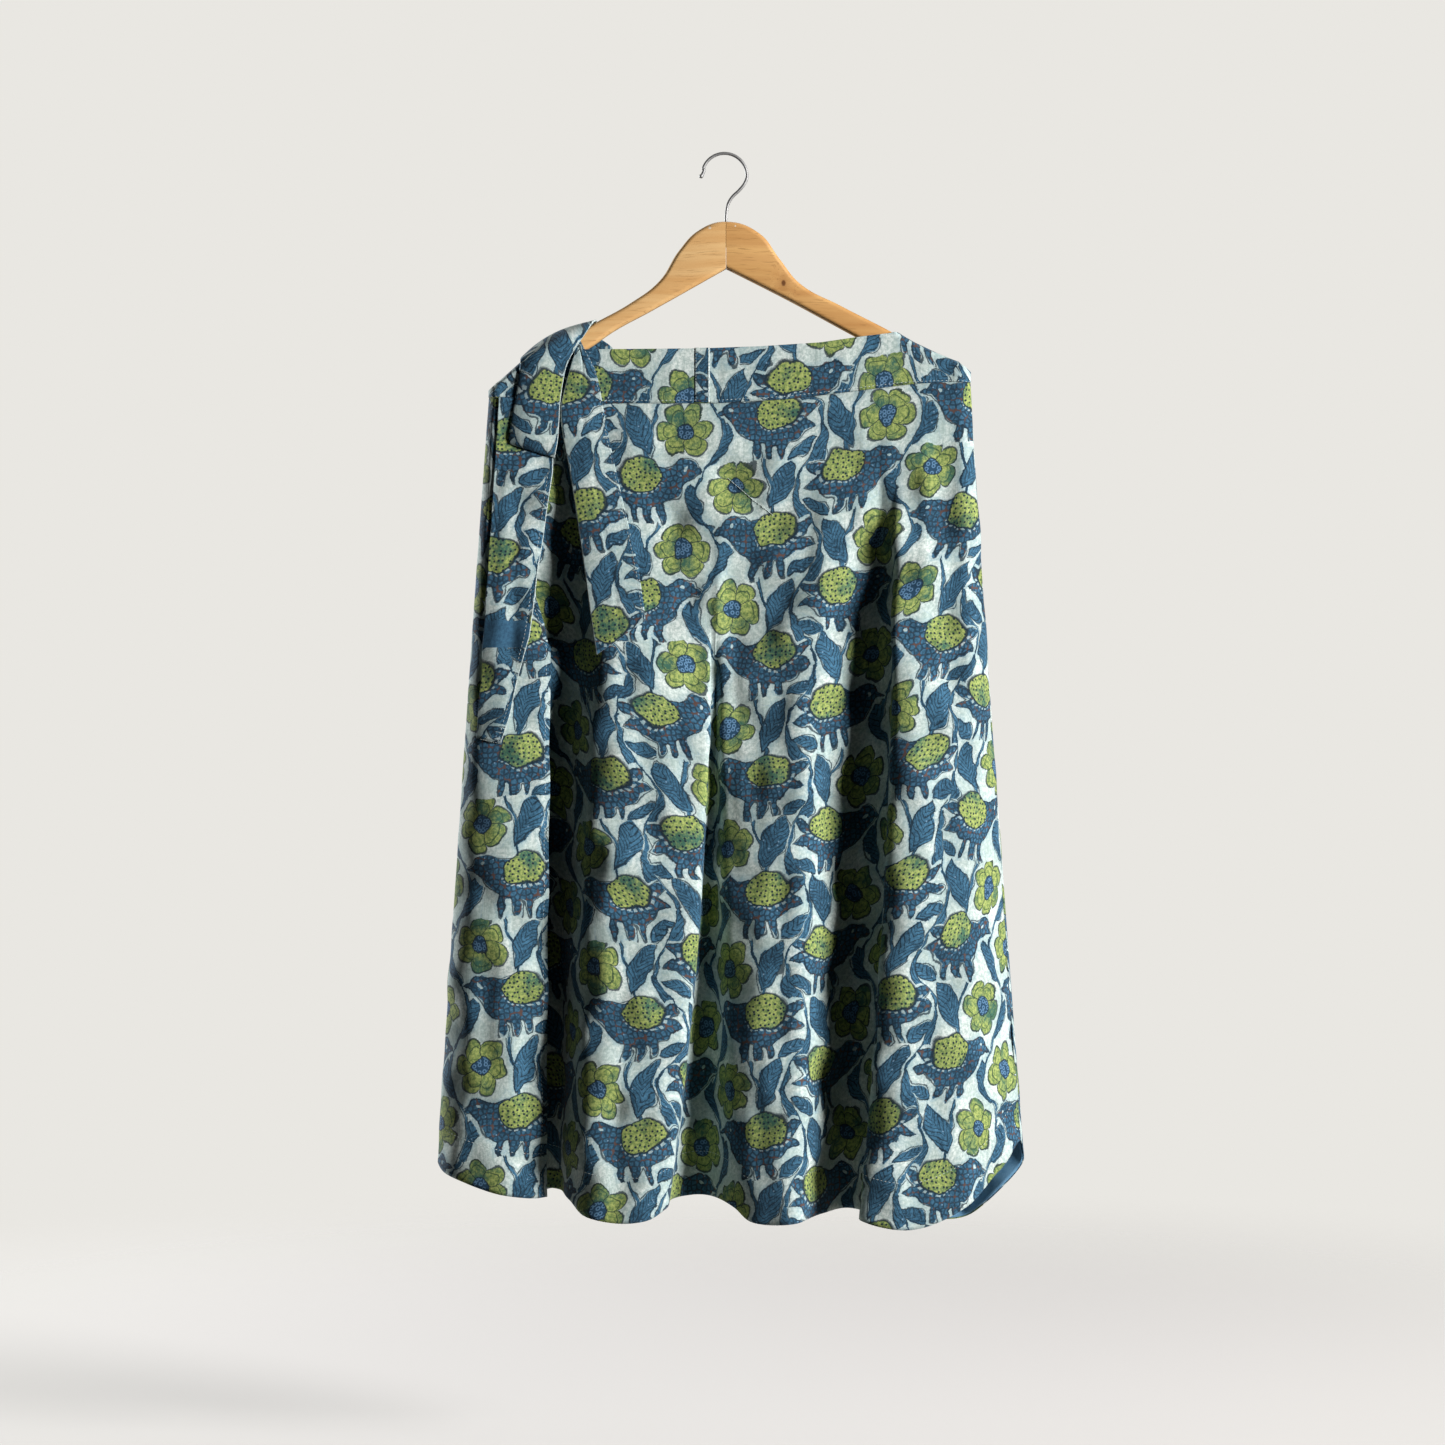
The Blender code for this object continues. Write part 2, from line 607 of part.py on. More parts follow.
def hook(finish, parent, parts):
    """A bent steel wire: round at the top, turned back at the tip, straight into the wood."""
    centre = Vector((HOOK_CENTRE_X, 0, WIRE_RADIUS - HOOK_RADIUS))
    route = [Vector((x, 0, z)) for x, z in reversed(HOOK_TIP)]
    for turn in range(165, -36, -20):
        angle = math.radians(turn)
        route.append(centre + Vector((math.cos(angle), 0, math.sin(angle))) * HOOK_RADIUS)
    route += [Vector((x, 0, z)) for x, z in HOOK_STEM]
    route.append(Vector((0, 0, HANGER_TOP - SOCKET_DEPTH + SEAM_GAP)))
    wire = bpy.data.curves.new("hook", "CURVE")
    wire.dimensions = "3D"
    wire.bevel_depth = WIRE_RADIUS * MM
    wire.bevel_resolution = 2
    wire.use_fill_caps = True
    wire.resolution_u = 2
    spline = wire.splines.new("BEZIER")
    spline.bezier_points.add(len(route) - 1)
    for point, place in zip(spline.bezier_points, route):
        point.co = place * MM
        point.handle_left_type = point.handle_right_type = "AUTO"
    for point, swell in zip(spline.bezier_points, (HOOK_BALL / WIRE_RADIUS, 1.1)):
        point.radius = swell
    wire.materials.append(finish)
    made = bpy.data.objects.new("hook", wire)
    made.parent = parent
    parts.objects.link(made)
    return made


def anchor(name, z, parts):
    made = bpy.data.objects.new(name, None)
    made.location = (0, 0, z * MM)
    parts.objects.link(made)
    return made


def build():
    clear_scene()
    parts = collection("wrap_skirt_on_hanger")
    cutters = collection("cutters", hidden=True)
    printed = material("printed_cotton", PRINT_PALE, 0.85)
    printed_band = material("printed_cotton_band", PRINT_BLUE, 0.85)
    plain = material("plain_blue_cotton", PLAIN_BLUE, 0.85)
    light_wood = material("light_wood", WOOD_LIGHT, 0.45)
    dark_wood = material("dark_wood", WOOD_DARK, 0.45)
    steel = material("steel_wire", STEEL, 0.3, 1.0)

    seat = anchor("hook_seat", 0.0, parts)
    waist = anchor("skirt_waist", SKIRT_TOP, parts)
    waist.parent = seat
    bpy.context.view_layer.update()

    hook(steel, seat, parts)
    board = hanger_board("hanger_board")
    socket = socket_cutter(cutters)
    hanger_half("hanger_left", board, -1, socket, light_wood, seat, parts, cutters)
    hanger_half("hanger_right", board, 1, socket, dark_wood, seat, parts, cutters)
    bpy.data.meshes.remove(board)

    panel("front_panel", 0, RIGHT_SIDE, 3, printed, waist, parts)
    panel("back_panel", RIGHT_SIDE, LEFT_SIDE, 2, printed, waist, parts)
    wrap_panel(printed, waist, parts)
    pocket_front(printed, waist, parts)

    band = (printed_band, waist, parts)
    waistband("waistband_front", front_band_places(), -1, (False, True), *band)
    waistband("waistband_back", back_band_places(), 1, (True, True), *band)
    waistband("waistband_side", side_band_places(), -1, (True, False), *band)

    end_rows = [crossed_row(row, BAND_END_STEPS, puff_band_end) for row in BAND_END]
    sheet_object("waistband_end", end_rows, TIE_CLOTH, printed_band, waist, parts)
    tie_rows = [crossed_row(row, TIE_STEPS, puff_tie) for row in TIE]
    sheet_object("tie", tie_rows, TIE_CLOTH, printed_band, waist, parts)
    band_slot(printed_band, waist, parts)
    hem_facing("hem_facing_front", 0, RIGHT_SIDE, 3, plain, waist, parts)
    hem_facing("hem_facing_back", RIGHT_SIDE, LEFT_SIDE, 2, plain, waist, parts)


build()
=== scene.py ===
# Wrap skirt of block-printed cotton, hung over a wooden hanger: how each piece looks.
# Sizes are in millimetres from the inner top of the hook: X runs to the viewer's right, Y away
# from the viewer and Z up. Every object is in metres.

import math
from collections import namedtuple
from functools import partial

import bmesh
import bpy
import numpy as np
from mathutils import Matrix, Vector


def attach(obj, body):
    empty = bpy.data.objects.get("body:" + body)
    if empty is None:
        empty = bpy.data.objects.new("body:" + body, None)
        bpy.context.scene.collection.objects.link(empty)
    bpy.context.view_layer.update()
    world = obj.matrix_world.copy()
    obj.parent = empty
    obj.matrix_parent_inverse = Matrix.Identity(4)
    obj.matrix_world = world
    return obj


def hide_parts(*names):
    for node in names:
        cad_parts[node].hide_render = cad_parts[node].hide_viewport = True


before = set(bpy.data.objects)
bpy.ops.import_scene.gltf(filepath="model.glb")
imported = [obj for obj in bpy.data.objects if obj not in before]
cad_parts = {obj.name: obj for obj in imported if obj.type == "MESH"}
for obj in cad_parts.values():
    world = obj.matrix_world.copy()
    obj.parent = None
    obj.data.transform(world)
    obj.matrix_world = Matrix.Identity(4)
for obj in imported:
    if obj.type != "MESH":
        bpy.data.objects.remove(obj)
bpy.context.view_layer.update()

# Camera: level and square to the front, as the skirt was photographed, from far enough away
# that the folds keep their true widths.
CAMERA_AWAY = 3600.0
FRAME_WIDE = 1351.0
FRAME_MIDDLE = (-3.3, -530.6)
MM = 0.001

lens = bpy.data.cameras.new("camera")
lens.sensor_width = 36.0
lens.lens = 36.0 * CAMERA_AWAY / FRAME_WIDE
camera = bpy.data.objects.new("camera", lens)
camera.location = Vector((FRAME_MIDDLE[0], -CAMERA_AWAY, FRAME_MIDDLE[1])) * MM
camera.rotation_euler = (math.radians(90), 0, 0)
bpy.context.scene.collection.objects.link(camera)
bpy.context.scene.camera = camera


# Studio: a pale floor that fades into a pale backdrop, a soft key light from the front right,
# weak ones from the front left and from above, and another soft light for the back.
FLOOR_HEIGHT = -1235.0
BACKDROP = "#E9E7E2"


def linear(code):
    """An sRGB hex colour as the linear colour that a shader takes."""
    parts = [int(code[i:i + 2], 16) / 255 for i in (1, 3, 5)]
    return (*(v / 12.92 if v <= 0.04045 else ((v + 0.055) / 1.055) ** 2.4 for v in parts), 1.0)


def set_input(socket, value):
    """Sets a socket to a number, a place or a hex colour, or links to it an output or the
    first output of a node. None leaves it as it is."""
    if isinstance(value, bpy.types.Node):
        value = next(output for output in value.outputs if output.enabled)
    if isinstance(value, bpy.types.NodeSocket):
        socket.id_data.links.new(value, socket)
    elif value is not None:
        socket.default_value = linear(value) if isinstance(value, str) else value


def set_inputs(node, **values):
    """Sets or links the inputs with those names, written with _ for a space."""
    for name, value in values.items():
        set_input(node.inputs[name.replace("_", " ")], value)
    return node


def add_node(tree, kind, *inputs, **settings):
    """A shader node of a kind, and the operation it does, with its settings and its inputs."""
    kind, _, operation = kind.partition(" ")
    node = tree.nodes.new("ShaderNode" + kind)
    if operation:
        node.operation = operation
    for name, value in settings.items():
        setattr(node, name, value)
    for socket, value in zip(node.inputs, inputs):
        set_input(socket, value)
    return node


def new_material(name, **values):
    """A material, its shader with those values, and the function that adds its nodes."""
    made = bpy.data.materials.new(name)
    made.use_nodes = True
    shader = set_inputs(made.node_tree.nodes["Principled BSDF"], **values)
    return made, shader, partial(add_node, made.node_tree)


# Painted floor: matt and even near the skirt, lost in the backdrop further out.
painted, shader, node = new_material("matt_painted_floor", Base_Color="#E6E3DD", Roughness=0.9)
where = node("TexCoord").outputs["Object"]
flat_place = node("VectorMath MULTIPLY_ADD", where, (1, 1, 0), (0, -0.8, 0))
far = node("VectorMath LENGTH", flat_place)
fade = node("MapRange", far, 0.3, 1.5, 0.0, 1.0, interpolation_type="SMOOTHSTEP")
blended = node("MixShader", fade, shader, node("BsdfTransparent"))
set_inputs(painted.node_tree.nodes["Material Output"], Surface=blended)
form = bmesh.new()
bmesh.ops.create_circle(form, cap_ends=True, segments=96, radius=14.0)
bmesh.ops.translate(form, vec=(0, 0, FLOOR_HEIGHT * MM), verts=form.verts)
mesh = bpy.data.meshes.new("floor")
form.to_mesh(mesh)
form.free()
mesh.materials.append(painted)
floor = bpy.data.objects.new("floor", mesh)
bpy.context.scene.collection.objects.link(floor)

world = bpy.data.worlds.new("studio")
bpy.context.scene.world = world
world.use_nodes = True
node = partial(add_node, world.node_tree)
seen = node("Background", BACKDROP, 1.0)
fill = node("Background", "#E4E9F0", 0.015)
rays = node("LightPath").outputs["Is Camera Ray"]
either = node("MixShader", rays, fill, seen)
set_inputs(world.node_tree.nodes["World Output"], Surface=either)

for name, place, aim, size, power, colour in (
    ("key", (4300, -2560, 420), (0, 0, -580), 1600, 532, "#FDFBFF"),
    ("front_fill", (-1700, -2800, -100), (0, 0, -600), 1500, 1.2, "#EEF3FF"),
    ("top_light", (0, 900, 2300), (0, 900, -1200), 2000, 16, "#FFFDF8"),
    ("back_light", (-4200, 2700, 200), (0, 0, -580), 1300, 340, "#F8FAFF"),
):
    lamp = bpy.data.lights.new(name, "AREA")
    lamp.shape = "DISK"
    lamp.size = size * MM
    lamp.energy = power
    lamp.color = linear(colour)[:3]
    light = bpy.data.objects.new(name, lamp)
    light.location = Vector(place) * MM
    light.rotation_euler = (Vector(aim) - Vector(place)).to_track_quat("-Z", "Y").to_euler()
    bpy.context.scene.collection.objects.link(light)
bpy.context.scene.view_settings.view_transform = "Standard"


# Hook: a 3 mm steel wire, bent into a loop whose tip is turned back and rounded to a small
# ball, and pressed straight down into the joint between the two halves of the hanger.
WIRE_RADIUS = 1.5
HOOK_RADIUS = 21.0
HOOK_CENTRE = Vector((-1.5, 0, WIRE_RADIUS - HOOK_RADIUS))
HOOK_TIP = ((-25.0, -21.0), (-22.5, -19.0), (-20.5, -14.0))
HOOK_STEM = (
    (16.8, -27.6), (12.0, -33.4), (6.3, -38.8), (2.2, -45.2), (0.5, -52.5), (0.0, -62.0), (0.0, -86.3),
)
BALL_RADIUS = 2.1
BALL_GROWS = (0.25, 0.75, 1.0, 0.98, 0.82)


def mesh_of(form, name, finishes):
    """A smooth mesh of a modelled form, with its materials."""
    mesh = bpy.data.meshes.new(name)
    form.to_mesh(mesh)
    form.free()
    for finish in finishes:
        mesh.materials.append(finish)
    mesh.shade_smooth()
    return mesh


def show(mesh):
    """Puts a mesh in the scene as a piece that hangs with the rest."""
    made = bpy.data.objects.new(mesh.name, mesh)
    bpy.context.scene.collection.objects.link(made)
    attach(made, "root")
    return made


def curve_through(points, steps):
    """Points on a smooth curve through the given points, steps to each stretch."""
    points = np.asarray(points, float)
    ends = np.concatenate((points[:1] * 2 - points[1:2], points, points[-1:] * 2 - points[-2:-1]))
    shares = np.arange(steps).reshape((-1,) + (1,) * (points.ndim - 1)) / steps
    rows = []
    for before, start, end, after in zip(ends, ends[1:], ends[2:], ends[3:]):
        lean_in, lean_out = (end - before) / 2, (after - start) / 2
        rows.append(
            start * (2 * shares ** 3 - 3 * shares ** 2 + 1) + end * (3 * shares ** 2 - 2 * shares ** 3)
            + lean_in * (shares ** 3 - 2 * shares ** 2 + shares) + lean_out * (shares ** 3 - shares ** 2)
        )
    return np.concatenate((*rows, points[-1:]))


# Stainless steel wire, drawn and left bare: a satin shine, duller in fine specks, and a grey
# that drifts a little along the wire.
drawn_steel, shader, node = new_material("stainless_steel_drawn_wire", Metallic=1.0)
place = node("TexCoord").outputs["Object"]
smear = node("TexNoise", place, None, 900.0, 3.0)
haze = node("TexNoise", place, None, 60.0, 2.0)
tone = node("MixRGB", haze, "#858583", "#B2B2AE")
dull = node("MapRange", smear, 0.3, 0.7, 0.55, 0.68)
set_inputs(shader, Base_Color=tone, Roughness=dull)

turns = [math.radians(turn) for turn in range(160, -6, -15)]
loop = [HOOK_CENTRE + Vector((math.cos(turn), 0, math.sin(turn))) * HOOK_RADIUS for turn in turns]
route = [(x, 0, z) for x, z in HOOK_TIP] + [tuple(point) for point in loop]
route += [(x, 0, z) for x, z in HOOK_STEM]
line = [Vector(point) * MM for point in curve_through(route, 4)]
form = bmesh.new()
ring = bmesh.ops.create_circle(form, cap_ends=False, segments=20, radius=WIRE_RADIUS * MM)["verts"]
facing = Vector((0, 0, 1))
swell = [BALL_RADIUS / WIRE_RADIUS * share for share in BALL_GROWS] + [1.02]
middle = line[0]
for index, point in enumerate(line):
    ahead = (line[min(index + 1, len(line) - 1)] - line[max(index - 1, 0)]).normalized()
    if index:
        edges = [edge for edge in form.edges if edge.verts[0] in ring and edge.verts[1] in ring]
        grown = bmesh.ops.extrude_edge_only(form, edges=edges)["geom"]
        ring = [piece for piece in grown if isinstance(piece, bmesh.types.BMVert)]
    turn = facing.rotation_difference(ahead).to_matrix()
    bmesh.ops.rotate(form, cent=middle if index else (0, 0, 0), matrix=turn, verts=ring)
    bmesh.ops.translate(form, vec=point - (middle if index else Vector()), verts=ring)
    before = swell[index - 1] if 0 < index <= len(swell) else 1.0
    scale = (swell[index] if index < len(swell) else 1.0) / before
    bmesh.ops.scale(form, vec=(scale,) * 3, space=Matrix.Translation(-point), verts=ring)
    facing, middle = ahead, point
bmesh.ops.holes_fill(form, edges=[edge for edge in form.edges if edge.is_boundary], sides=0)
bmesh.ops.recalc_face_normals(form, faces=form.faces)
hook = show(mesh_of(form, "hook_wire", [drawn_steel]))
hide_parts("hook")


# Hanger: two halves cut from a pale hardwood board, rounded along every edge, butted at the
# middle and varnished. The left half is the lighter board; the right one has a small knot.
HANGER_THICK = 13.0
HANGER_EDGE = 4.0
HANGER_JOINT = 0.15
HANGER_OUTLINE = (
    (0, -62.6), (31, -73.5), (50, -97.5), (69, -120.5), (107, -141.2), (158, -167.6),
    (176, -178.2), (197, -188.2), (208, -194.4), (214.5, -202.5), (210, -209.5), (200, -209.0),
    (158, -189.5), (118, -168.5), (58, -136.0),
    (0, -106.6),
    (-70, -146.0), (-104, -164.5), (-128, -181.0), (-171, -206.0), (-200, -223.0),
    (-208, -222.5), (-210, -216.0), (-204, -209.6), (-190, -196.0), (-171, -184.7),
    (-121, -156.6), (-90, -139.3), (-62, -118.0), (-44, -90.0), (-25, -70.5),
)
HANGER_NOTCH = 15
KNOT = (53.0, -119.5)
WORN = ((-15.1, -68.8, 1.7), (8.6, -67.2, 1.3))


def varnished_wood(name, pale, deep, slant, knot=None):
    """Varnished hardwood: grain lines run along the arm, with pores, pale worn chips and a thin
    clear coat."""
    made, shader, node = new_material(name, Coat_Weight=0.25, Coat_Roughness=0.22)
    place = node("TexCoord").outputs["Object"]
    wander = node("TexNoise", place, None, 9.0, 2.0).outputs["Color"]
    shift = node("VectorMath MULTIPLY_ADD", wander, (0.014, 0.014, 0.014), place)
    if knot:
        middle = (knot[0] * MM + 0.007, 0.007, knot[1] * MM + 0.007)
        away = node("VectorMath SUBTRACT", shift, middle)
        from_knot = node("VectorMath LENGTH", node("VectorMath MULTIPLY", away, (1, 0, 0.7)))
        push = node("MapRange", from_knot, 0.0, 0.016, 1.6, 0.0, interpolation_type="SMOOTHSTEP")
        shift = node("VectorMath MULTIPLY_ADD", away, push, shift)

    def drawn_out(fineness, *noise):
        """Noise that is drawn out along the arm, with those numbers of waves a metre each way."""
        along = node("Mapping", shift, (0, 0, 0), (0, math.radians(slant), 0), fineness)
        return node("TexNoise", along, None, 1.0, *noise)

    grain = drawn_out((7.0, 120.0, 190.0), 3.0, 0.55)
    lines = node("MapRange", grain, 0.34, 0.68, 0.0, 1.0)
    wide = node("MapRange", drawn_out((2.0, 34.0, 60.0), 2.0), 0.35, 0.65, 0.0, 1.0)
    both = node("Math MULTIPLY_ADD", wide, 0.45, node("Math MULTIPLY", lines, 0.45))
    wood = node("MixRGB", both, pale, deep)
    fleck = node("MapRange", drawn_out((60.0, 700.0, 900.0), 1.0), 0.6, 0.74, 0.0, 0.45)
    wood = node("MixRGB", fleck, wood, "#7A5026")
    if knot:
        rings = ((0.0014, 0.0026, 0.92, "#3E2010"), (0.002, 0.0075, 0.35, "#8A5322"))
        for inner, outer, strength, dye in rings:
            near = node("MapRange", from_knot, inner, outer, strength, 0.0)
            wood = node("MixRGB", near, wood, dye)
    for x, z, reach in WORN:
        away = node("VectorMath DISTANCE", place, (x * MM, -HANGER_THICK / 2 * MM, z * MM))
        ragged = node("Math MULTIPLY", grain, 1.4 * reach * MM)
        chip = node("Math LESS_THAN", away, ragged)
        wood = node("MixRGB", chip, wood, "#D9C7AC")
    sheen = node("MapRange", grain, 0.3, 0.7, 0.36, 0.5)
    set_inputs(shader, Base_Color=wood, Roughness=sheen, Normal=node("Bump", 0.12, 0.0004, None, grain))
    return made


for name, side, finish in (
    ("hanger_left", -1, varnished_wood("varnished_pale_beech", "#E4BC80", "#CB9655", -29)),
    ("hanger_right", 1, varnished_wood("varnished_golden_beech", "#D6A868", "#B57F42", 30, KNOT)),
):
    outline = bpy.data.curves.new(name, "CURVE")
    outline.dimensions = "2D"
    outline.fill_mode = "BOTH"
    outline.extrude = HANGER_THICK / 2 * MM
    outline.resolution_u = 8
    spline = outline.splines.new("BEZIER")
    spline.bezier_points.add(len(HANGER_OUTLINE) - 1)
    spline.use_cyclic_u = True
    for index, (point, (x, z)) in enumerate(zip(spline.bezier_points, HANGER_OUTLINE)):
        point.co = (x * MM, z * MM, 0.0)
        point.handle_left_type = point.handle_right_type = "VECTOR" if index == HANGER_NOTCH else "AUTO"
    guide = bpy.data.objects.new(name, outline)
    bpy.context.scene.collection.objects.link(guide)
    board = bpy.data.meshes.new_from_object(guide.evaluated_get(bpy.context.evaluated_depsgraph_get()))
    bpy.data.objects.remove(guide, do_unlink=True)
    form = bmesh.new()
    form.from_mesh(board)
    upright = Matrix.Rotation(math.radians(90), 3, "X")
    bmesh.ops.rotate(form, cent=(0, 0, 0), matrix=upright, verts=form.verts)
    bmesh.ops.remove_doubles(form, verts=form.verts, dist=1e-6)
    bmesh.ops.dissolve_limit(form, angle_limit=math.radians(0.3), verts=form.verts, edges=form.edges)
    rims = [
        edge for edge in form.edges
        if len(edge.link_faces) == 2 and edge.calc_face_angle() > math.radians(60)
        and abs(edge.verts[0].co.y - edge.verts[1].co.y) < 1e-6
    ]
    bmesh.ops.bevel(
        form, geom=rims, offset=HANGER_EDGE * MM, segments=6, profile=0.5,
        affect="EDGES", material=-1, clamp_overlap=True,
    )
    bmesh.ops.bisect_plane(
        form, geom=form.verts[:] + form.edges[:] + form.faces[:],
        plane_co=(side * HANGER_JOINT * MM, 0, 0), plane_no=(-side, 0, 0), clear_outer=True,
    )
    bmesh.ops.holes_fill(form, edges=[edge for edge in form.edges if edge.is_boundary], sides=0)
    bmesh.ops.triangulate(form, faces=[face for face in form.faces if len(face.verts) > 4])
    bmesh.ops.recalc_face_normals(form, faces=form.faces)
    made = show(mesh_of(form, name + "_wood", [finish]))
    made.data.set_sharp_from_angle(angle=math.radians(40))
    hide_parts(name)


# Skirt cloth: hand block-printed plain-weave cotton, about 1 mm thick, washed and slightly
# stiff. One long strip starts behind the wrap at the left, crosses the front, turns round the
# right side, crosses the back and turns into the outer wrap.
SEAM_GAP = 0.3
CLOTH = 1.1
BAND_CLOTH = 2.0
BAND_FACE = HANGER_THICK / 2 + SEAM_GAP + BAND_CLOTH / 2
WRAP_FACE = BAND_FACE + BAND_CLOTH + SEAM_GAP

# Each row is one fold line from waist to hem: its place across the body at the waist, half way
# and at the hem, how far it stands forward (-) or back (+) at the hem, how low the hem hangs,
# where it dies away on the way up and how soon below that it is full.
Fold = namedtuple("Fold", "name x_waist x_mid x_hem y_hem z_hem starts swells", defaults=(2.0,))
FRONT_FOLDS = tuple(Fold(*row) for row in (
    ("hidden_edge", -168, -212, -246, -5, -956, 0.00),
    ("hidden_middle", -151, -185, -203, 2, -963, 0.04, 4.0),
    ("gap_trough", -134, -153, -160, 10, -968, 0.02, 7.0),
    ("left_ridge_foot", -113, -134, -146, -26, -974, 0.16, 2.0),
    ("left_ridge_side", -95, -121, -130, -50, -986, 0.15, 2.4),
    ("left_ridge", -71, -82, -99, -56, -992, 0.18, 2.4),
    ("left_ridge_shoulder", -43, -38, -72, -54, -989, 0.26, 2.4),
    ("left_ridge_lip", -24, -20, -56, -43, -980, 0.28, 2.4),
    ("left_ridge_tuck", -18, -18, -49, -2, -975, 0.26),
    ("first_trough", -11, -10, -20, 9, -973, 0.26, 2.4),
    ("middle_ridge_lip", -1, -2, 7, -26, -980, 0.28),
    ("middle_ridge_side", 18, 11, 20, -36, -992, 0.27),
    ("middle_ridge", 53, 42, 38, -45, -995, 0.24),
    ("middle_ridge_shoulder", 83, 71, 64, -45, -993, 0.18),
    ("second_trough_slope", 111, 99, 89, -14, -988, 0.12),
    ("second_trough", 135, 128, 113, 6, -985, 0.10, 3.0),
    ("right_ridge_tuck", 153, 150, 131, -14, -986, 0.14),
    ("right_ridge_lip", 160, 152, 124, -49, -989, 0.12, 2.7),
    ("right_ridge_side", 171, 165, 142, -58, -995, 0.12, 2.8),
    ("right_ridge", 191, 186, 176, -58, -997, 0.11, 2.4),
    ("right_ridge_shoulder", 208, 213, 219, -46, -979, 0.10, 2.2),
    ("right_round", 220, 236, 256, -25, -945, 0.05),
    ("right_side", 228, 250, 275, 0, -921, 0.00),
))
BACK_FOLDS = tuple(Fold(*row) for row in (
    ("back_round", 221, 250, 277, 10, -943, 0.00),
    ("first_back_slope", 205, 228, 252, 25, -976, 0.08),
    ("first_back_ridge", 184, 200, 224, 46, -999, 0.12),
    ("first_back_side", 166, 172, 188, 37, -998, 0.12),
    ("first_back_trough", 150, 146, 150, 16, -985, 0.15),
    ("second_back_slope", 128, 118, 112, 35, -984, 0.18),
    ("second_back_ridge", 100, 88, 74, 46, -990, 0.20),
    ("second_back_side", 74, 62, 42, 36, -985, 0.20),
    ("second_back_trough", 52, 40, 14, 15, -975, 0.25),
    ("third_back_slope", 28, 14, -20, 33, -975, 0.22),
    ("third_back_ridge", 0, -20, -62, 48, -982, 0.18),
    ("third_back_side", -34, -56, -102, 40, -983, 0.16),
    ("third_back_trough", -60, -88, -134, 18, -973, 0.15),
    ("fourth_back_slope", -90, -118, -158, 31, -969, 0.14),
    ("fourth_back_ridge", -130, -155, -192, 42, -976, 0.12),
    ("fourth_back_side", -172, -196, -230, 33, -966, 0.10),
    ("fourth_back_turn", -200, -222, -247, 26, -960, 0.06),
    ("left_back_round", -213, -235, -258, 14, -954, 0.04),
    ("left_side", -221, -246, -269, 0, -941, 0.00),
))
WRAP_FOLDS = tuple(Fold(*row) for row in (
    ("wrap_round", -216, -240, -261, -15, -950, 0.00),
    ("wrap_left", -205, -224, -240, -30, -959, 0.10),
    ("wrap_middle", -188, -197, -210, -32, -968, 0.12),
    ("wrap_right", -172, -177, -182, -25, -972, 0.12),
    ("wrap_edge", -160, -165, -166, -18, -972, 0.12),
))
ALL_FOLDS = FRONT_FOLDS + BACK_FOLDS + WRAP_FOLDS
FOLD_NUMBERS = np.array([fold[1:] for fold in ALL_FOLDS], float)
RIGHT_SIDE = len(FRONT_FOLDS) - 1
LEFT_SIDE = RIGHT_SIDE + len(BACK_FOLDS)
WRAP_EDGE = LEFT_SIDE + len(WRAP_FOLDS)
# The seam under the waistband: places across and heights.
SEAM_LINE = (
    (-221, -227), (-168, -229), (-125, -233), (-10, -233),
    (60, -229), (174, -215), (202, -213), (228, -213),
)

# Small creases on top of the folds: where each starts and ends across and down, how wide it
# is, how far it stands out (+) or sinks in (-), and how far it bows sideways at its middle.
Crease = namedtuple("Crease", "x_top z_top x_foot z_foot width lift bow")
FRONT_CREASES = tuple(Crease(*row) for row in (
    (-97, -330, -88, -470, 9, 2.4, 3), (-76, -300, -97, -560, 11, -1.6, -4),
    (-60, -250, -52, -420, 10, -1.2, 5), (-40, -430, -60, -720, 12, 1.3, -4),
    (-5, -355, -22, -600, 6, 3.0, 3), (9, -380, 2, -640, 9, -2.2, 2),
    (30, -290, 24, -470, 12, -1.0, -5), (38, -520, 30, -800, 10, 1.2, 4),
    (66, -260, 60, -430, 9, 1.3, 4), (60, -560, 52, -930, 11, -1.4, -4),
    (96, -270, 86, -520, 11, 1.8, -3), (101, -480, 88, -720, 9, -1.3, 3),
    (128, -245, 122, -380, 7, 1.5, 2), (143, -262, 140, -520, 6, -2.6, 2),
    (163, -320, 158, -560, 6, 2.2, -1), (184, -235, 181, -470, 8, 2.0, 3),
    (203, -300, 209, -560, 9, -1.8, 2), (222, -330, 233, -600, 7, 1.2, -2),
    (196, -560, 190, -830, 12, -1.4, 4), (218, -640, 232, -900, 11, 1.5, -3),
    (166, -700, 158, -960, 10, 1.1, 2), (-92, -760, -104, -980, 9, -1.5, -2),
    (-72, -640, -84, -930, 10, 1.0, 3), (22, -800, 26, -985, 8, 1.2, -3),
    (-118, -480, -122, -780, 10, -1.2, 3), (-140, -300, -147, -520, 9, 1.6, 2),
    (-108, -620, -112, -900, 8, 1.1, -3),
))
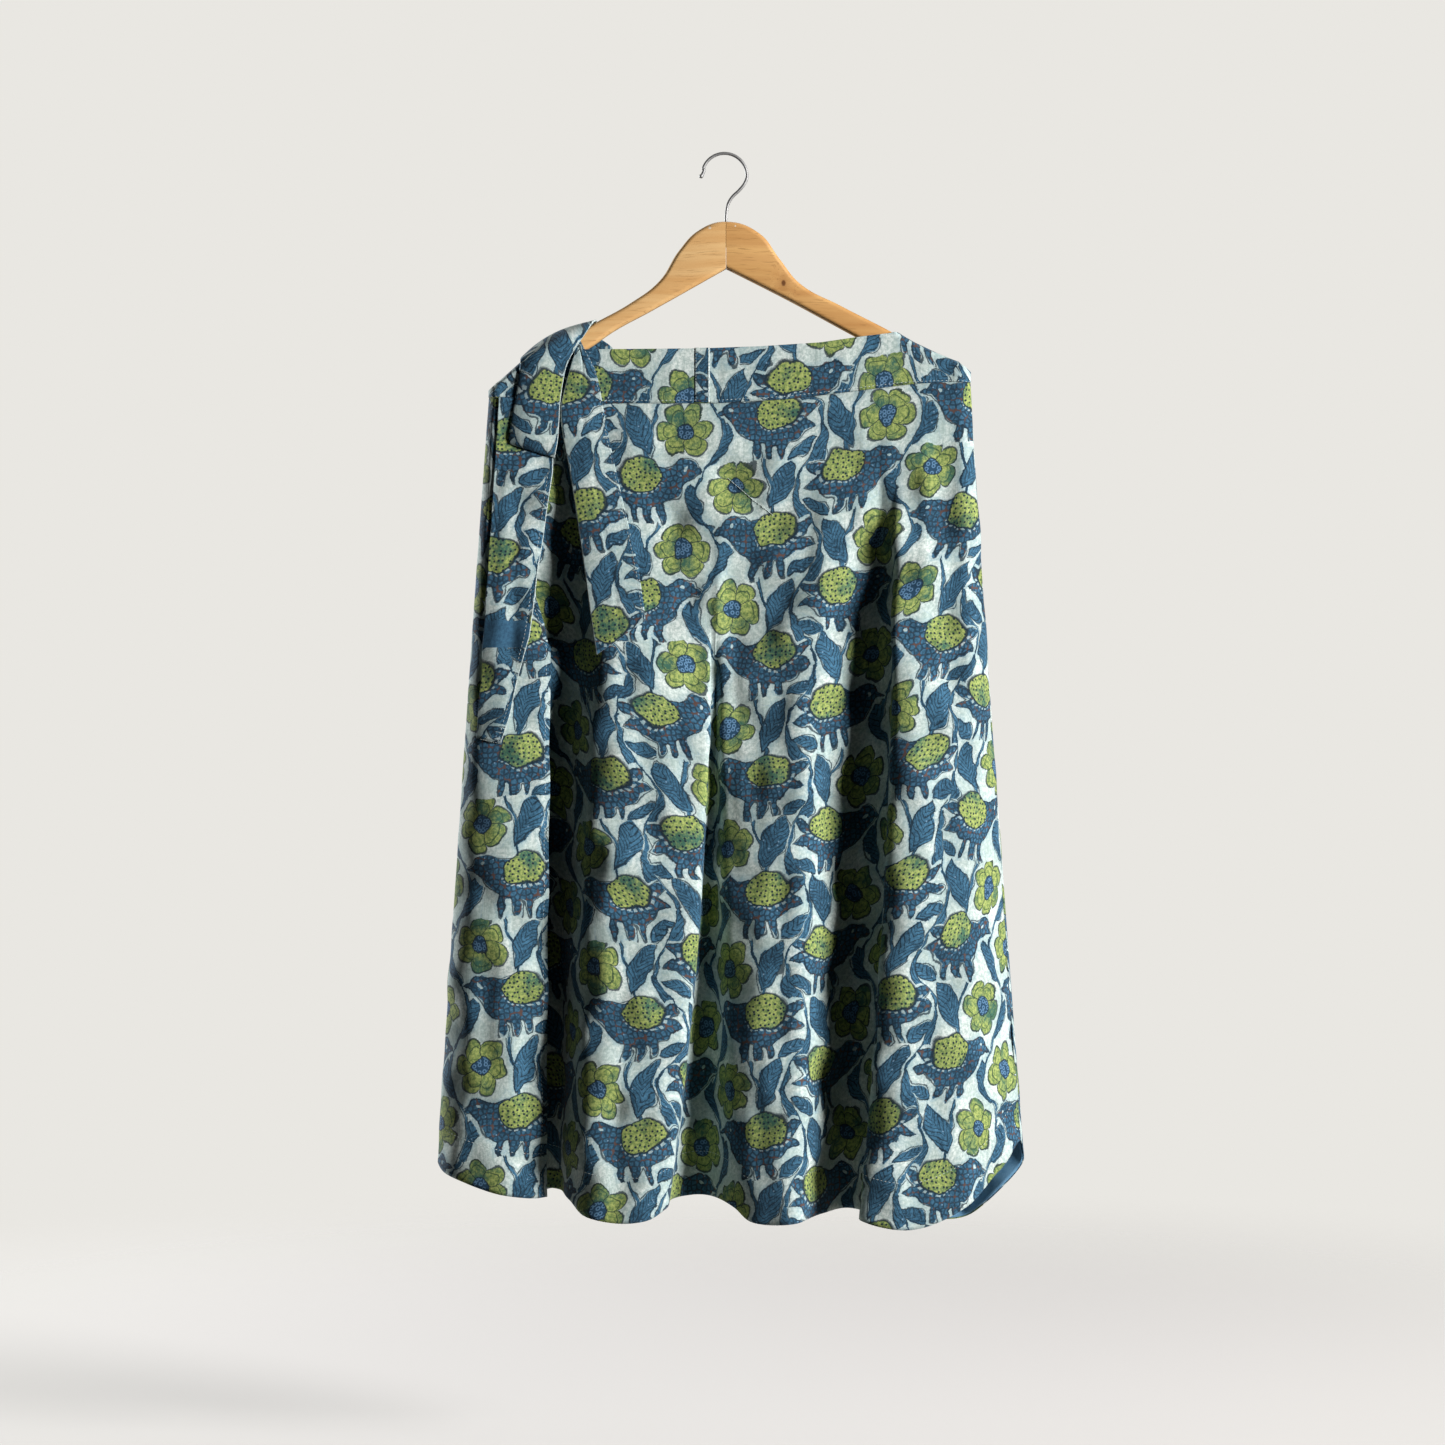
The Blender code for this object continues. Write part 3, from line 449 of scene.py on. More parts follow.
BACK_CREASES = tuple(Crease(*row) for row in (
    (196, -260, 208, -520, 10, 1.8, 3), (176, -240, 182, -430, 8, -1.8, -2),
    (158, -300, 160, -600, 9, 1.4, 3), (131, -250, 122, -470, 10, -1.6, -4),
    (108, -300, 97, -560, 9, 2.0, 3), (84, -240, 74, -400, 8, -1.4, 2),
    (64, -330, 44, -620, 10, 1.5, -3), (36, -250, 26, -440, 8, -2.0, 2),
    (12, -300, -14, -600, 10, 1.8, 4), (-16, -250, -30, -450, 9, -1.5, -3),
    (-48, -280, -70, -560, 8, 1.6, 3), (-80, -250, -92, -420, 9, -1.7, 3),
    (-112, -300, -134, -600, 11, 1.5, -4), (-146, -260, -158, -470, 9, -1.4, 3),
    (-180, -280, -198, -560, 10, 1.4, -3), (205, -640, 218, -930, 11, -1.5, 3),
    (172, -620, 180, -960, 9, 1.2, -3), (96, -640, 78, -960, 11, -1.4, 4),
    (58, -700, 44, -980, 9, 1.1, -2), (-40, -640, -60, -960, 10, 1.3, 4),
    (-100, -620, -118, -940, 9, -1.3, -3), (-168, -640, -186, -950, 11, 1.3, 3),
    (-212, -500, -228, -800, 8, -1.1, 2),
))
WRAP_CREASES = tuple(Crease(*row) for row in (
    (-206, -250, -214, -480, 9, 1.6, 2), (-190, -300, -198, -560, 8, -1.5, -3),
    (-176, -480, -178, -760, 8, 1.4, 3), (-222, -520, -236, -820, 10, -1.3, 3),
    (-200, -620, -212, -900, 9, 1.3, -3), (-230, -700, -248, -930, 8, 1.0, 2),
    (-186, -780, -194, -960, 8, -1.5, 2), (-172, -860, -174, -970, 6, 1.3, -1),
))


def fold_lines(index, down):
    """Points on the fold lines with those numbers: down is 0 at the waist and 1 at the hem."""
    x_waist, x_mid, x_hem, y_hem, z_hem, starts, swells = np.moveaxis(FOLD_NUMBERS[index], -1, 0)
    x = x_waist * (down - 0.5) * (down - 1) * 2 + x_mid * down * (1 - down) * 4
    x = x + x_hem * down * (down - 0.5) * 2
    face = np.where(index > LEFT_SIDE, WRAP_FACE, BAND_FACE)
    front = (index < RIGHT_SIDE) | (index > LEFT_SIDE)
    y_waist = np.where(front, -1, 1) * np.minimum(np.abs(y_hem) * 4, face)
    grown = np.clip((down - starts) / (1 - starts), 0, 1)
    y = y_waist + (y_hem - y_waist) * (1 - (1 - grown) ** swells)
    top = np.interp(x_waist, *zip(*SEAM_LINE))
    return np.stack((x, y, top + (z_hem - top) * down), axis=-1)


def strip_points(places, down):
    """Points of the strip of cloth: places count the fold lines from the hidden edge."""
    places, down = np.broadcast_arrays(np.asarray(places, float), np.asarray(down, float))
    index = np.minimum(places.astype(int), WRAP_EDGE - 1)
    near = [fold_lines(np.clip(index + step, 0, WRAP_EDGE), down) for step in (-1, 0, 1, 2)]
    near[0] = np.where((index == 0)[..., None], near[1] * 2 - near[2], near[0])
    near[3] = np.where((index == WRAP_EDGE - 1)[..., None], near[2] * 2 - near[1], near[3])
    knots = [np.zeros(places.shape)]
    for one, two in zip(near, near[1:]):
        knots.append(knots[-1] + np.maximum(np.sqrt(np.linalg.norm(two - one, axis=-1)), 1e-3))
    at = knots[1] + (knots[2] - knots[1]) * (places - index)

    def between(one, two, low, high):
        share = ((at - knots[low]) / (knots[high] - knots[low]))[..., None]
        return one + (two - one) * share

    first, middle, last = (between(near[i], near[i + 1], i, i + 1) for i in range(3))
    return between(between(first, middle, 0, 2), between(middle, last, 1, 3), 1, 2)


def run_along(points, axis=0):
    """How far along a line, or along every row or column of a sheet, each point lies."""
    steps = np.linalg.norm(np.diff(points, axis=axis), axis=-1)
    return np.concatenate((np.take(steps, [0], axis) * 0, np.cumsum(steps, axis)), axis)


def even_places(first, last, count):
    """Places from one to another that are evenly spaced along the lower part of the cloth."""
    fine = np.linspace(first, last, int((last - first) * 40) + 1)
    length = run_along(strip_points(fine, 0.8))
    return np.interp(np.linspace(0, length[-1], count + 1), length, fine)


# Soft dents all over the washed cloth: waves of many lengths, lying mostly upright, which die
# away near the waist seam.
DENTS = np.random.default_rng(11)
DENT_LENGTH = DENTS.uniform(24, 90, 18)
DENT_SLANT = DENTS.uniform(-1.1, 1.1, 18)
DENT_PHASE = DENTS.uniform(0, 2 * math.pi, 18)
DENT_STEEP = 0.0085
DENTS_START, DENTS_GROW = -235, 60


def dented(points):
    """How far the soft dents lift each point, none of it at the waist seam."""
    lift = np.zeros(points.shape[:-1])
    for length, slant, phase in zip(DENT_LENGTH, DENT_SLANT, DENT_PHASE):
        along = points[..., 0] * math.cos(slant) + points[..., 2] * math.sin(slant)
        lift += DENT_STEEP * length * np.sin(2 * math.pi * along / length + phase)
    return lift * np.clip((DENTS_START - points[..., 2]) / DENTS_GROW, 0, 1)


def outward(points):
    """The way that the outer face of a sheet looks at each of its points."""
    across = np.gradient(points, axis=1)
    downwards = np.gradient(points, axis=0)
    way = np.cross(downwards, across)
    return way / np.maximum(np.linalg.norm(way, axis=-1, keepdims=True), 1e-9)


def pressed(points, creases, side):
    """The sheet with its creases pressed in, where it looks to the front (-1) or back (1)."""
    way = outward(points)
    faces = np.clip(way[..., 1] * side * 1.6, 0, 1)
    lift = dented(points)
    for crease in creases:
        fall = (crease.z_top - points[..., 2]) / (crease.z_top - crease.z_foot)
        inside = np.clip(fall, 0, 1)
        line = crease.x_top + (crease.x_foot - crease.x_top) * inside + crease.bow * np.sin(np.pi * inside)
        beyond = np.abs(fall - inside) * (crease.z_top - crease.z_foot)
        away = np.hypot(points[..., 0] - line, beyond * 0.5) / crease.width
        fades = np.sin(np.pi * np.clip(inside, 0.02, 0.98)) ** 0.6
        lift += crease.lift * np.exp(-away ** 2 * 1.4) * fades
    return points + way * (lift * faces)[..., None]


def parted(points, start=False, end=False):
    """The sheet with its end columns drawn back by half a seam gap."""
    points = points.copy()
    for here, wanted in ((0, start), (-1, end)):
        if wanted:
            way = points[:, 1 if here == 0 else -2] - points[:, here]
            way /= np.linalg.norm(way, axis=-1, keepdims=True)
            points[:, here] += way * SEAM_GAP / 2
    return points


def cloth_map(points, anchor, cut_at):
    """Where each point lies on the flat printed cloth, which was cut at that place: across
    from the anchor column, and down from the top row."""
    across = run_along(points, axis=1)
    across -= across[:, anchor:anchor + 1]
    return np.stack((cut_at[0] + across, cut_at[1] - run_along(points)), axis=-1)


def strip_map(points, cut_at):
    """Where each point of a narrow strip lies on the flat cloth; rows may cross it at a slant."""
    middle = points.shape[1] // 2
    line = points[:, middle]
    way = np.gradient(line, axis=0)
    way /= np.linalg.norm(way, axis=-1, keepdims=True)
    steps = np.diff(points, axis=1)
    along = (steps * way[:, None]).sum(axis=-1)
    across = np.sqrt(np.maximum((steps ** 2).sum(axis=-1) - along ** 2, 0))
    spans = []
    for share in (across, along):
        total = np.concatenate((np.zeros((len(points), 1)), np.cumsum(share, axis=1)), axis=1)
        spans.append(total - total[:, middle:middle + 1])
    return np.stack((cut_at[0] + spans[0], cut_at[1] - run_along(line)[:, None] - spans[1]), axis=-1)


def cloth_sheet(name, points, flat_places, wall, finishes, edge_columns=()):
    """A sheet through a grid of points, with its flat map, given a wall on both sides."""
    rows, columns = points.shape[:2]
    form = bmesh.new()
    bmesh.ops.create_grid(form, x_segments=columns - 1, y_segments=rows - 1, size=1.0)
    bmesh.ops.reverse_faces(form, faces=form.faces)
    mesh = mesh_of(form, name, finishes)
    mesh.vertices.foreach_set("co", (points * MM).astype(np.float32).ravel())
    corners = np.zeros(len(mesh.loops), np.int32)
    mesh.loops.foreach_get("vertex_index", corners)
    flat_map = mesh.uv_layers.new(name="cloth")
    flat_map.data.foreach_set("uv", (flat_places.reshape(-1, 2)[corners] * MM).astype(np.float32).ravel())
    if edge_columns:
        slots = np.zeros((rows - 1, columns - 1), np.int32)
        slots[:, list(edge_columns)] = 1
        mesh.polygons.foreach_set("material_index", slots.ravel())
    mesh.update()
    made = show(mesh)
    thick = made.modifiers.new("wall", "SOLIDIFY")
    thick.thickness = wall * MM
    thick.offset = 0.0
    return made


# Block print of leaves, flowers and birds on pale cotton. Each repeat is one printed block:
# its places and turns are in millimetres and degrees from the block's middle. The bird is a
# body, a neck and a head on three legs, with a forked tail and a beak.
REPEAT_WIDE, REPEAT_HIGH, COLUMN_WAVE = 94.0, 112.0, 12.0
Leaf = namedtuple("Leaf", "x y turn half_long half_wide")
LEAVES = (
    Leaf(21, 32, 66, 26, 10.6),
    Leaf(42, 15, 98, 24, 9.4),
    Leaf(-36, -37, 62, 22, 9.6),
    Leaf(41, -47, 28, 15, 6.0),
    Leaf(-11, -4, -14, 9, 3.2),
)
Rounded = namedtuple("Rounded", "x y turn half_long half_high")
BIRD = (
    Rounded(9, -21, -8, 32, 20),
    Rounded(-14, -13, -32, 17, 12),
    Rounded(-23, -7, 0, 10.6, 9.8),
    Rounded(-2, -44, 80, 11.5, 3.8),
    Rounded(10, -45, 90, 11.5, 3.8),
    Rounded(22, -43, 99, 11.5, 3.6),
)
TAIL_AND_BEAK = (
    Leaf(40, -12, 28, 15, 5.6),
    Leaf(40, -24, -12, 14, 5.4),
    Leaf(-34, -9, 8, 7, 2.8),
)
WING = Rounded(13, -11, 6, 19, 15.5)
EYE = (-24, -6)
FLOWER_X, FLOWER_Y, FLOWER_REACH = -23, 31, 26.5
FLOWER_HEART = 8.6
VEIN_APART, SCALE_APART = 5.6, 5.2
STEM_HALF, VINE_HALF = 1.6, 1.7
THREADS_APART = 0.9


def cloth_place(node):
    """Places on the flat cloth, in millimetres."""
    return node("Mapping", node("UVMap", uv_map="cloth"), None, None, (1000, 1000, 1000))


def own_place(node, place, figure, size=(1, 1, 1)):
    """Places counted from a figure's middle along its own turn, as shares of that size."""
    turned = (0, 0, math.radians(figure.turn))
    return node("Mapping", place, (figure.x, figure.y, 0), turned, size, vector_type="TEXTURE")


def leaf_edge(node, place, leaf):
    """Distance from a pointed leaf's outline, the leaf's own folded half, and its own place."""
    arc = (leaf.half_long ** 2 + leaf.half_wide ** 2) / (2 * leaf.half_wide)
    own = own_place(node, place, leaf)
    half = node("VectorMath ABSOLUTE", own)
    reach = node("VectorMath DISTANCE", half, (0, leaf.half_wide - arc, 0))
    return node("Math SUBTRACT", reach, arc), half, own


def laid(node, under, amount, dye, strength):
    """The cloth with that amount of a dye over it."""
    return node("MixRGB", node("Math MULTIPLY", amount, strength), under, dye)


def dyed_inside(node, under, edge, dye, strength=1.0):
    """The cloth with a dye laid inside an outline, its edge soft over a third of a millimetre."""
    inside = node("Math MULTIPLY_ADD", edge, -3.0, 0.5, use_clamp=True)
    return laid(node, under, inside, dye, strength)


def outlined(node, under, edge, half, dye, strength=0.85):
    """The cloth with a line of dye along an outline, half wide to each side."""
    off = node("Math ABSOLUTE", edge)
    near = node("Math MULTIPLY_ADD", off, -3.0, 0.5 + 3.0 * half, use_clamp=True)
    return laid(node, under, near, dye, strength)


def printed_cotton(name, dyed_patch=None):
    """Plain-weave cotton under hand block printing: mottled dyes with ragged dark outlines,
    pale cracked ground, matt with a faint bloom of loose fibres and a woven, slubby relief."""
    made, shader, node = new_material(
        name, Roughness=0.88, Sheen_Weight=0.12, Sheen_Roughness=0.5, Specular_IOR_Level=0.25
    )
    place = cloth_place(node)

    # The block wanders as it is set down by hand, and its edge is a little ragged.
    wander = node("TexNoise", place, None, 0.045, 1.0, noise_dimensions="2D")
    ragged = node("TexNoise", place, None, 0.5, 2.0, noise_dimensions="2D")
    moved = place
    for noise, reach in ((wander, 11), (ragged, 1.6)):
        off = node("VectorMath ADD", noise.outputs["Color"], (-0.5, -0.5, -0.5))
        moved = node("VectorMath MULTIPLY_ADD", off, (reach, reach, 0), moved)
    x, y, _ = node("SeparateXYZ", moved).outputs

    # Blocks stand in wavy columns, every other one mirrored and half a repeat lower.
    sway = node("Math SINE", node("Math MULTIPLY", y, 2 * math.pi / REPEAT_HIGH))
    swayed = node("Math MULTIPLY_ADD", sway, COLUMN_WAVE, x)
    column = node("Math ROUND", node("Math DIVIDE", swayed, REPEAT_WIDE))
    odd = node("Math PINGPONG", column, 1.0)
    mirror = node("Math MULTIPLY_ADD", odd, -2.0, 1.0)
    across = node("Math MULTIPLY", node("Math MULTIPLY_ADD", column, -REPEAT_WIDE, x), mirror)
    dropped = node("Math MULTIPLY_ADD", odd, REPEAT_HIGH / 2, y)
    row = node("Math ROUND", node("Math DIVIDE", dropped, REPEAT_HIGH))
    up = node("Math MULTIPLY_ADD", row, -REPEAT_HIGH, dropped)
    chance = node("TexWhiteNoise", node("CombineXYZ", column, row), noise_dimensions="2D").outputs["Color"]
    slip = node("VectorMath ADD", chance, (-0.5, -0.5, -0.5))
    block = node("VectorMath MULTIPLY_ADD", slip, (4, 4, 0), node("CombineXYZ", across, up, 0.0))

    # Leaves, each with herringbone veins, and thin stems that sway up through the blocks.
    leaves, veins = None, 0.0
    for leaf in LEAVES:
        edge, half, own = leaf_edge(node, block, leaf)
        inside = node("Math LESS_THAN", edge, 0.0)
        slope = node("VectorMath DOT_PRODUCT", half, (0, 1.5, 0))
        length = node("VectorMath DOT_PRODUCT", own, (-1, 0, 0))
        veins = node("Math MULTIPLY_ADD", inside, node("Math ADD", slope, length), veins)
        leaves = node("Math MINIMUM", leaves, edge) if leaves else edge
    lean = node("Math SINE", node("Math MULTIPLY_ADD", up, 2 * math.pi / REPEAT_HIGH, 0.9))
    lean = node("Math MULTIPLY_ADD", lean, 7.0, 7.0)
    stem = node("Math ABSOLUTE", node("Math SUBTRACT", across, lean))
    stem = node("Math SUBTRACT", stem, STEM_HALF)
    vine = node("Math ABSOLUTE", node("Math MULTIPLY_ADD", column, -REPEAT_WIDE, swayed))
    vine = node("Math MULTIPLY_ADD", vine, -1.0, REPEAT_WIDE / 2 - VINE_HALF)
    stem = node("Math MINIMUM", stem, vine)

    # Birds, with a pear-shaped wing that has a row of pale beads round its lower edge.
    bird = None
    for shape in BIRD:
        size = (shape.half_long, shape.half_high, 1)
        out = node("VectorMath LENGTH", own_place(node, block, shape, size))
        edge = node("Math MULTIPLY_ADD", out, shape.half_high, -shape.half_high)
        bird = node("Math SMOOTH_MIN", bird, edge, 3.0) if bird else edge
    for leaf in TAIL_AND_BEAK:
        bird = node("Math SMOOTH_MIN", bird, leaf_edge(node, block, leaf)[0], 2.0)
    own = own_place(node, block, WING, (WING.half_long, WING.half_high, 1))
    wing_x, wing_y, _ = node("SeparateXYZ", own).outputs
    pear = node("Math MULTIPLY_ADD", wing_x, 0.22, 1.0)
    wing = node("Math DIVIDE", node("VectorMath LENGTH", own), pear)
    wing = node("Math MULTIPLY_ADD", wing, WING.half_high, -WING.half_high)
    around = node("Math MULTIPLY", node("Math ARCTAN2", wing_y, wing_x), 24.0)
    bead_row = node("Math ABSOLUTE", node("Math SUBTRACT", wing, 1.9))
    bead_row = node("Math SUBTRACT", bead_row, 0.8)
    bead_row = node("Math MAXIMUM", bead_row, node("Math SINE", around))
    bead_row = node("Math MAXIMUM", bead_row, node("Math MULTIPLY_ADD", wing_y, 6.0, 2.4))

    # Six-petalled flowers, each turned its own way, with a double line round every petal.
    spin = node("Math MULTIPLY", node("SeparateXYZ", chance).outputs[2], 6.28)
    spin = node("CombineXYZ", 0.0, 0.0, spin)
    own = node("Mapping", block, (FLOWER_X, FLOWER_Y, 0), spin, vector_type="TEXTURE")
    from_middle = node("VectorMath LENGTH", own)
    flower_x, flower_y, _ = node("SeparateXYZ", own).outputs
    petal = node("Math MULTIPLY", node("Math ARCTAN2", flower_y, flower_x), 3.0)
    petal = node("Math ABSOLUTE", node("Math COSINE", petal))
    rim = node("Math POWER", petal, 0.45)
    rim = node("Math MULTIPLY_ADD", rim, FLOWER_REACH * 0.36, FLOWER_REACH * 0.64)
    flower = node("Math SUBTRACT", from_middle, rim)
    between = node("Math SUBTRACT", node("Math MULTIPLY", petal, from_middle), 1.3)
    between = node("Math MAXIMUM", between, flower)
    inner_line = node("Math MULTIPLY_ADD", rim, -0.76, from_middle)
    heart = node("Math SUBTRACT", from_middle, FLOWER_HEART)

    # The ground: mottled and cracked, with a haze where the blue dye bled into it.
    navy, bead = "#10242F", "#7C9DB4"
    cloudy = node("TexNoise", place, None, 0.035, 3.0, noise_dimensions="2D")
    speckled = node("TexNoise", place, None, 0.3, 4.0, 0.75, noise_dimensions="2D")
    shade = node("Math MULTIPLY_ADD", cloudy, 3.2, -1.1, use_clamp=True)
    speck = node("Math MULTIPLY_ADD", speckled, 4.6, -1.8, use_clamp=True)
    plants = node("Math MINIMUM", stem, leaves)
    ground = node("MixRGB", shade, "#D3DCD3", "#B1C2BA")
    ground = laid(node, ground, speck, "#8BA098", 0.7)
    bleed = node("Math MINIMUM", plants, bird)
    bleed = node("Math MULTIPLY_ADD", bleed, -0.22, 1.0, use_clamp=True)
    ground = laid(node, ground, node("Math MULTIPLY", bleed, speckled), "#7D9FA8", 0.95)
    crack = node("TexVoronoi", moved, None, 0.06, voronoi_dimensions="2D", feature="DISTANCE_TO_EDGE")
    crack = node("Math MULTIPLY_ADD", crack, -50.0, 1.0, use_clamp=True)
    some = node("Math MULTIPLY_ADD", cloudy, 4.0, -1.7, use_clamp=True)
    ground = laid(node, ground, node("Math MULTIPLY", crack, some), bead, 0.6)

    # Indigo for leaves and birds: veins in the leaves, scales on the birds with brown between
    # them, and pale flecks where the dye did not take.
    scales, corners, flecks, dots = (
        set_inputs(
            node("TexVoronoi", place, None, fineness, voronoi_dimensions="2D", feature=feature),
            Randomness=scatter,
        )
        for fineness, feature, scatter in (
            (1 / SCALE_APART, "DISTANCE_TO_EDGE", 0.75), (1 / SCALE_APART, "F1", 0.75),
            (0.055, "F1", 1.0), (0.21, "F1", 0.6),
        )
    )
    mottle = node("Math MULTIPLY_ADD", speck, 0.65, node("Math MULTIPLY", shade, 0.45))
    indigo = node("MixRGB", mottle, "#41708A", "#1A3D50")
    vein = node("Math FRACT", node("Math MULTIPLY", veins, 1 / VEIN_APART))
    vein = node("Math ABSOLUTE", node("Math MULTIPLY_ADD", vein, VEIN_APART, -VEIN_APART / 2))
    vein = node("Math MULTIPLY_ADD", vein, -1.6, 1.6, use_clamp=True)
    scale = node("Math MULTIPLY_ADD", scales, -8.0, 1.75, use_clamp=True)
    corner = node("Math MULTIPLY_ADD", corners, 9.0, -5.4, use_clamp=True)
    fleck = node("Math MULTIPLY_ADD", flecks, -30.0, 1.6, use_clamp=True)
    fleck = node("Math MULTIPLY", fleck, 0.8)
    leaf_dye = laid(node, indigo, vein, navy, 0.9)
    leaf_dye = node("MixRGB", fleck, leaf_dye, bead)
    bird_dye = laid(node, indigo, scale, "#132A38", 0.8)
    bird_dye = node("MixRGB", corner, bird_dye, "#54403A")
    bird_dye = node("MixRGB", fleck, bird_dye, bead)

    # Lime for flowers and wings, greener where it went over indigo, and small rings in the hearts.
    lime = node("MixRGB", speck, "#A3AF62", "#5E7640")
    overdyed = node("Math MULTIPLY_ADD", cloudy, 5.0, -2.5, use_clamp=True)
    overdyed = node("Math MULTIPLY", node("Math MULTIPLY", speckled, overdyed), 2.0, use_clamp=True)
    lime = node("MixRGB", overdyed, lime, "#37604E")
    dot = node("Math MULTIPLY_ADD", dots, -9.0, 2.5, use_clamp=True)
    wing_dye = node("MixRGB", dot, lime, navy)
    darker = node("Math MULTIPLY_ADD", flower, 0.13, 0.75, use_clamp=True)
    petal_dye = laid(node, lime, darker, "#3C5C38", speckled)
    ringed = node("Math ABSOLUTE", node("Math MULTIPLY_ADD", dots, 4.0, -1.25))
    ringed = node("Math MULTIPLY_ADD", ringed, -2.0, 1.3, use_clamp=True)
    heart_dye = laid(node, "#1B3D54", ringed, "#5F86A4", 0.85)

    # The dyes go on one over the other, plants first, with the ground kept free round each figure.
    astray = node("Math MULTIPLY_ADD", wander, 7.0, -3.5)
    eye = node("VectorMath DISTANCE", block, (*EYE, 0))
    cloth = ground
    for lay, edge, *look in (
        (dyed_inside, stem, indigo),
        (dyed_inside, leaves, leaf_dye),
        (outlined, node("Math ADD", plants, astray), 0.6, navy),
        (dyed_inside, node("Math SUBTRACT", bird, 3.0), ground),
        (dyed_inside, bird, bird_dye),
        (outlined, node("Math ADD", bird, astray), 0.6, navy),
        (dyed_inside, node("Math SUBTRACT", wing, 1.2), navy, 0.6),
        (dyed_inside, bead_row, ground, 0.8),
        (dyed_inside, wing, wing_dye),
        (outlined, wing, 0.6, navy),
        (dyed_inside, node("Math SUBTRACT", flower, 2.6), ground),
        (dyed_inside, flower, petal_dye),
        (outlined, node("Math MULTIPLY_ADD", astray, 0.6, flower), 1.0, navy),
        (dyed_inside, between, navy, 0.85),
        (outlined, inner_line, 0.6, "#2A4530"),
        (dyed_inside, heart, heart_dye),
        (outlined, heart, 0.6, navy, 0.9),
        (dyed_inside, node("Math SUBTRACT", eye, 1.7), ground),
    ):
        cloth = lay(node, cloth, edge, *look)

    # A stretch dyed over in plain indigo, where the piece has one.
    if dyed_patch:
        low, high = dyed_patch
        height = node("SeparateXYZ", node("TexCoord").outputs["Object"]).outputs[2]
        uneven = node("Math MULTIPLY_ADD", speckled, 0.002, height)
        uneven = node("Math MULTIPLY_ADD", wander, 0.012, uneven)
        over = node("Math SUBTRACT", uneven, (high + 7) * MM)
        under = node("Math SUBTRACT", low * MM, height)
        band = node("Math MULTIPLY", node("Math MAXIMUM", over, under), 1000.0)
        plain = node("MixRGB", speck, "#355F78", "#294D64")
        cloth = dyed_inside(node, cloth, band, plain)

    # Relief: threads drawn 0.9 mm apart so that they show, with thicker slubs here and there.
    warp, weft = (
        node("Math SINE", node("Math MULTIPLY", way, 2 * math.pi / THREADS_APART))
        for way in node("SeparateXYZ", place).outputs[:2]
    )
    slub = node("Mapping", place, None, None, (0.9, 0.06, 1))
    slub = node("TexNoise", slub, None, 1.0, 1.0, noise_dimensions="2D")
    crinkle = node("TexNoise", place, None, 0.06, 3.0, 0.55, noise_dimensions="2D")
    relief = node("Math MULTIPLY", node("Math MULTIPLY", warp, weft), 0.06)
    for waves, lift in ((slub, 0.35), (speckled, 0.25), (crinkle, 1.3)):
        relief = node("Math MULTIPLY_ADD", waves, lift, relief)
    set_inputs(shader, Base_Color=cloth, Normal=node("Bump", 0.5, 0.0006, None, relief))
    return made


body_cloth = printed_cotton("block_printed_cotton")

# Sewing thread: spun cotton, pale and matt, with the darker flecks of its twist.
sewing_thread, shader, node = new_material("spun_cotton_thread", Roughness=0.8, Sheen_Weight=0.15)
twist = node("TexNoise", node("TexCoord").outputs["Object"], None, 700.0, 2.0)
set_inputs(shader, Base_Color=node("MixRGB", twist, "#8FA09C", "#DCE3DC"))
STITCH, STITCH_APART, THREAD = 2.6, 3.8, 0.55


def thread_along(name, line, face, wall, stitch=STITCH, apart=STITCH_APART):
    """Stitches along a line in a cloth, lying on the face that looks that way."""
    run = run_along(line)
    form = bmesh.new()
    for start in np.arange(apart / 2, run[-1] - apart / 2, apart):
        middle, ahead, up = (
            Vector([np.interp(start + step, run, numbers) for numbers in table.T])
            for table, step in ((line, 0.0), (line, 1.0), (face, 0.0))
        )
        along = (ahead - middle).normalized()
        across = up.cross(along).normalized()
        half = (along * stitch / 2, across * THREAD / 2, along.cross(across) * THREAD / 2)
        lying = Matrix(half).transposed() * MM
        lying = Matrix.Translation((middle + up * wall / 2) * MM) @ lying.to_4x4()
        bmesh.ops.create_icosphere(form, subdivisions=1, radius=1.0, matrix=lying)
    show(mesh_of(form, name, [sewing_thread]))


def sewn_row(name, points, where, wall, **size):
    """A row of stitches in a sheet, along those of its points."""
    thread_along(name, points[where], outward(points)[where], wall, **size)


# Front and back panels: the two long stretches of the printed strip, eased into the waistband
# above and turned up at the hem, which is sewn all round. A loose thread clings to the front.
HEM_DEEP = 0.055
LOOSE_THREAD = ((1.4, -302.3), (12.0, -311.4), (24.0, -321.9), (35.0, -330.2), (46.6, -339.7))
PANEL_ROWS, PANEL_COLUMNS = 200, 216

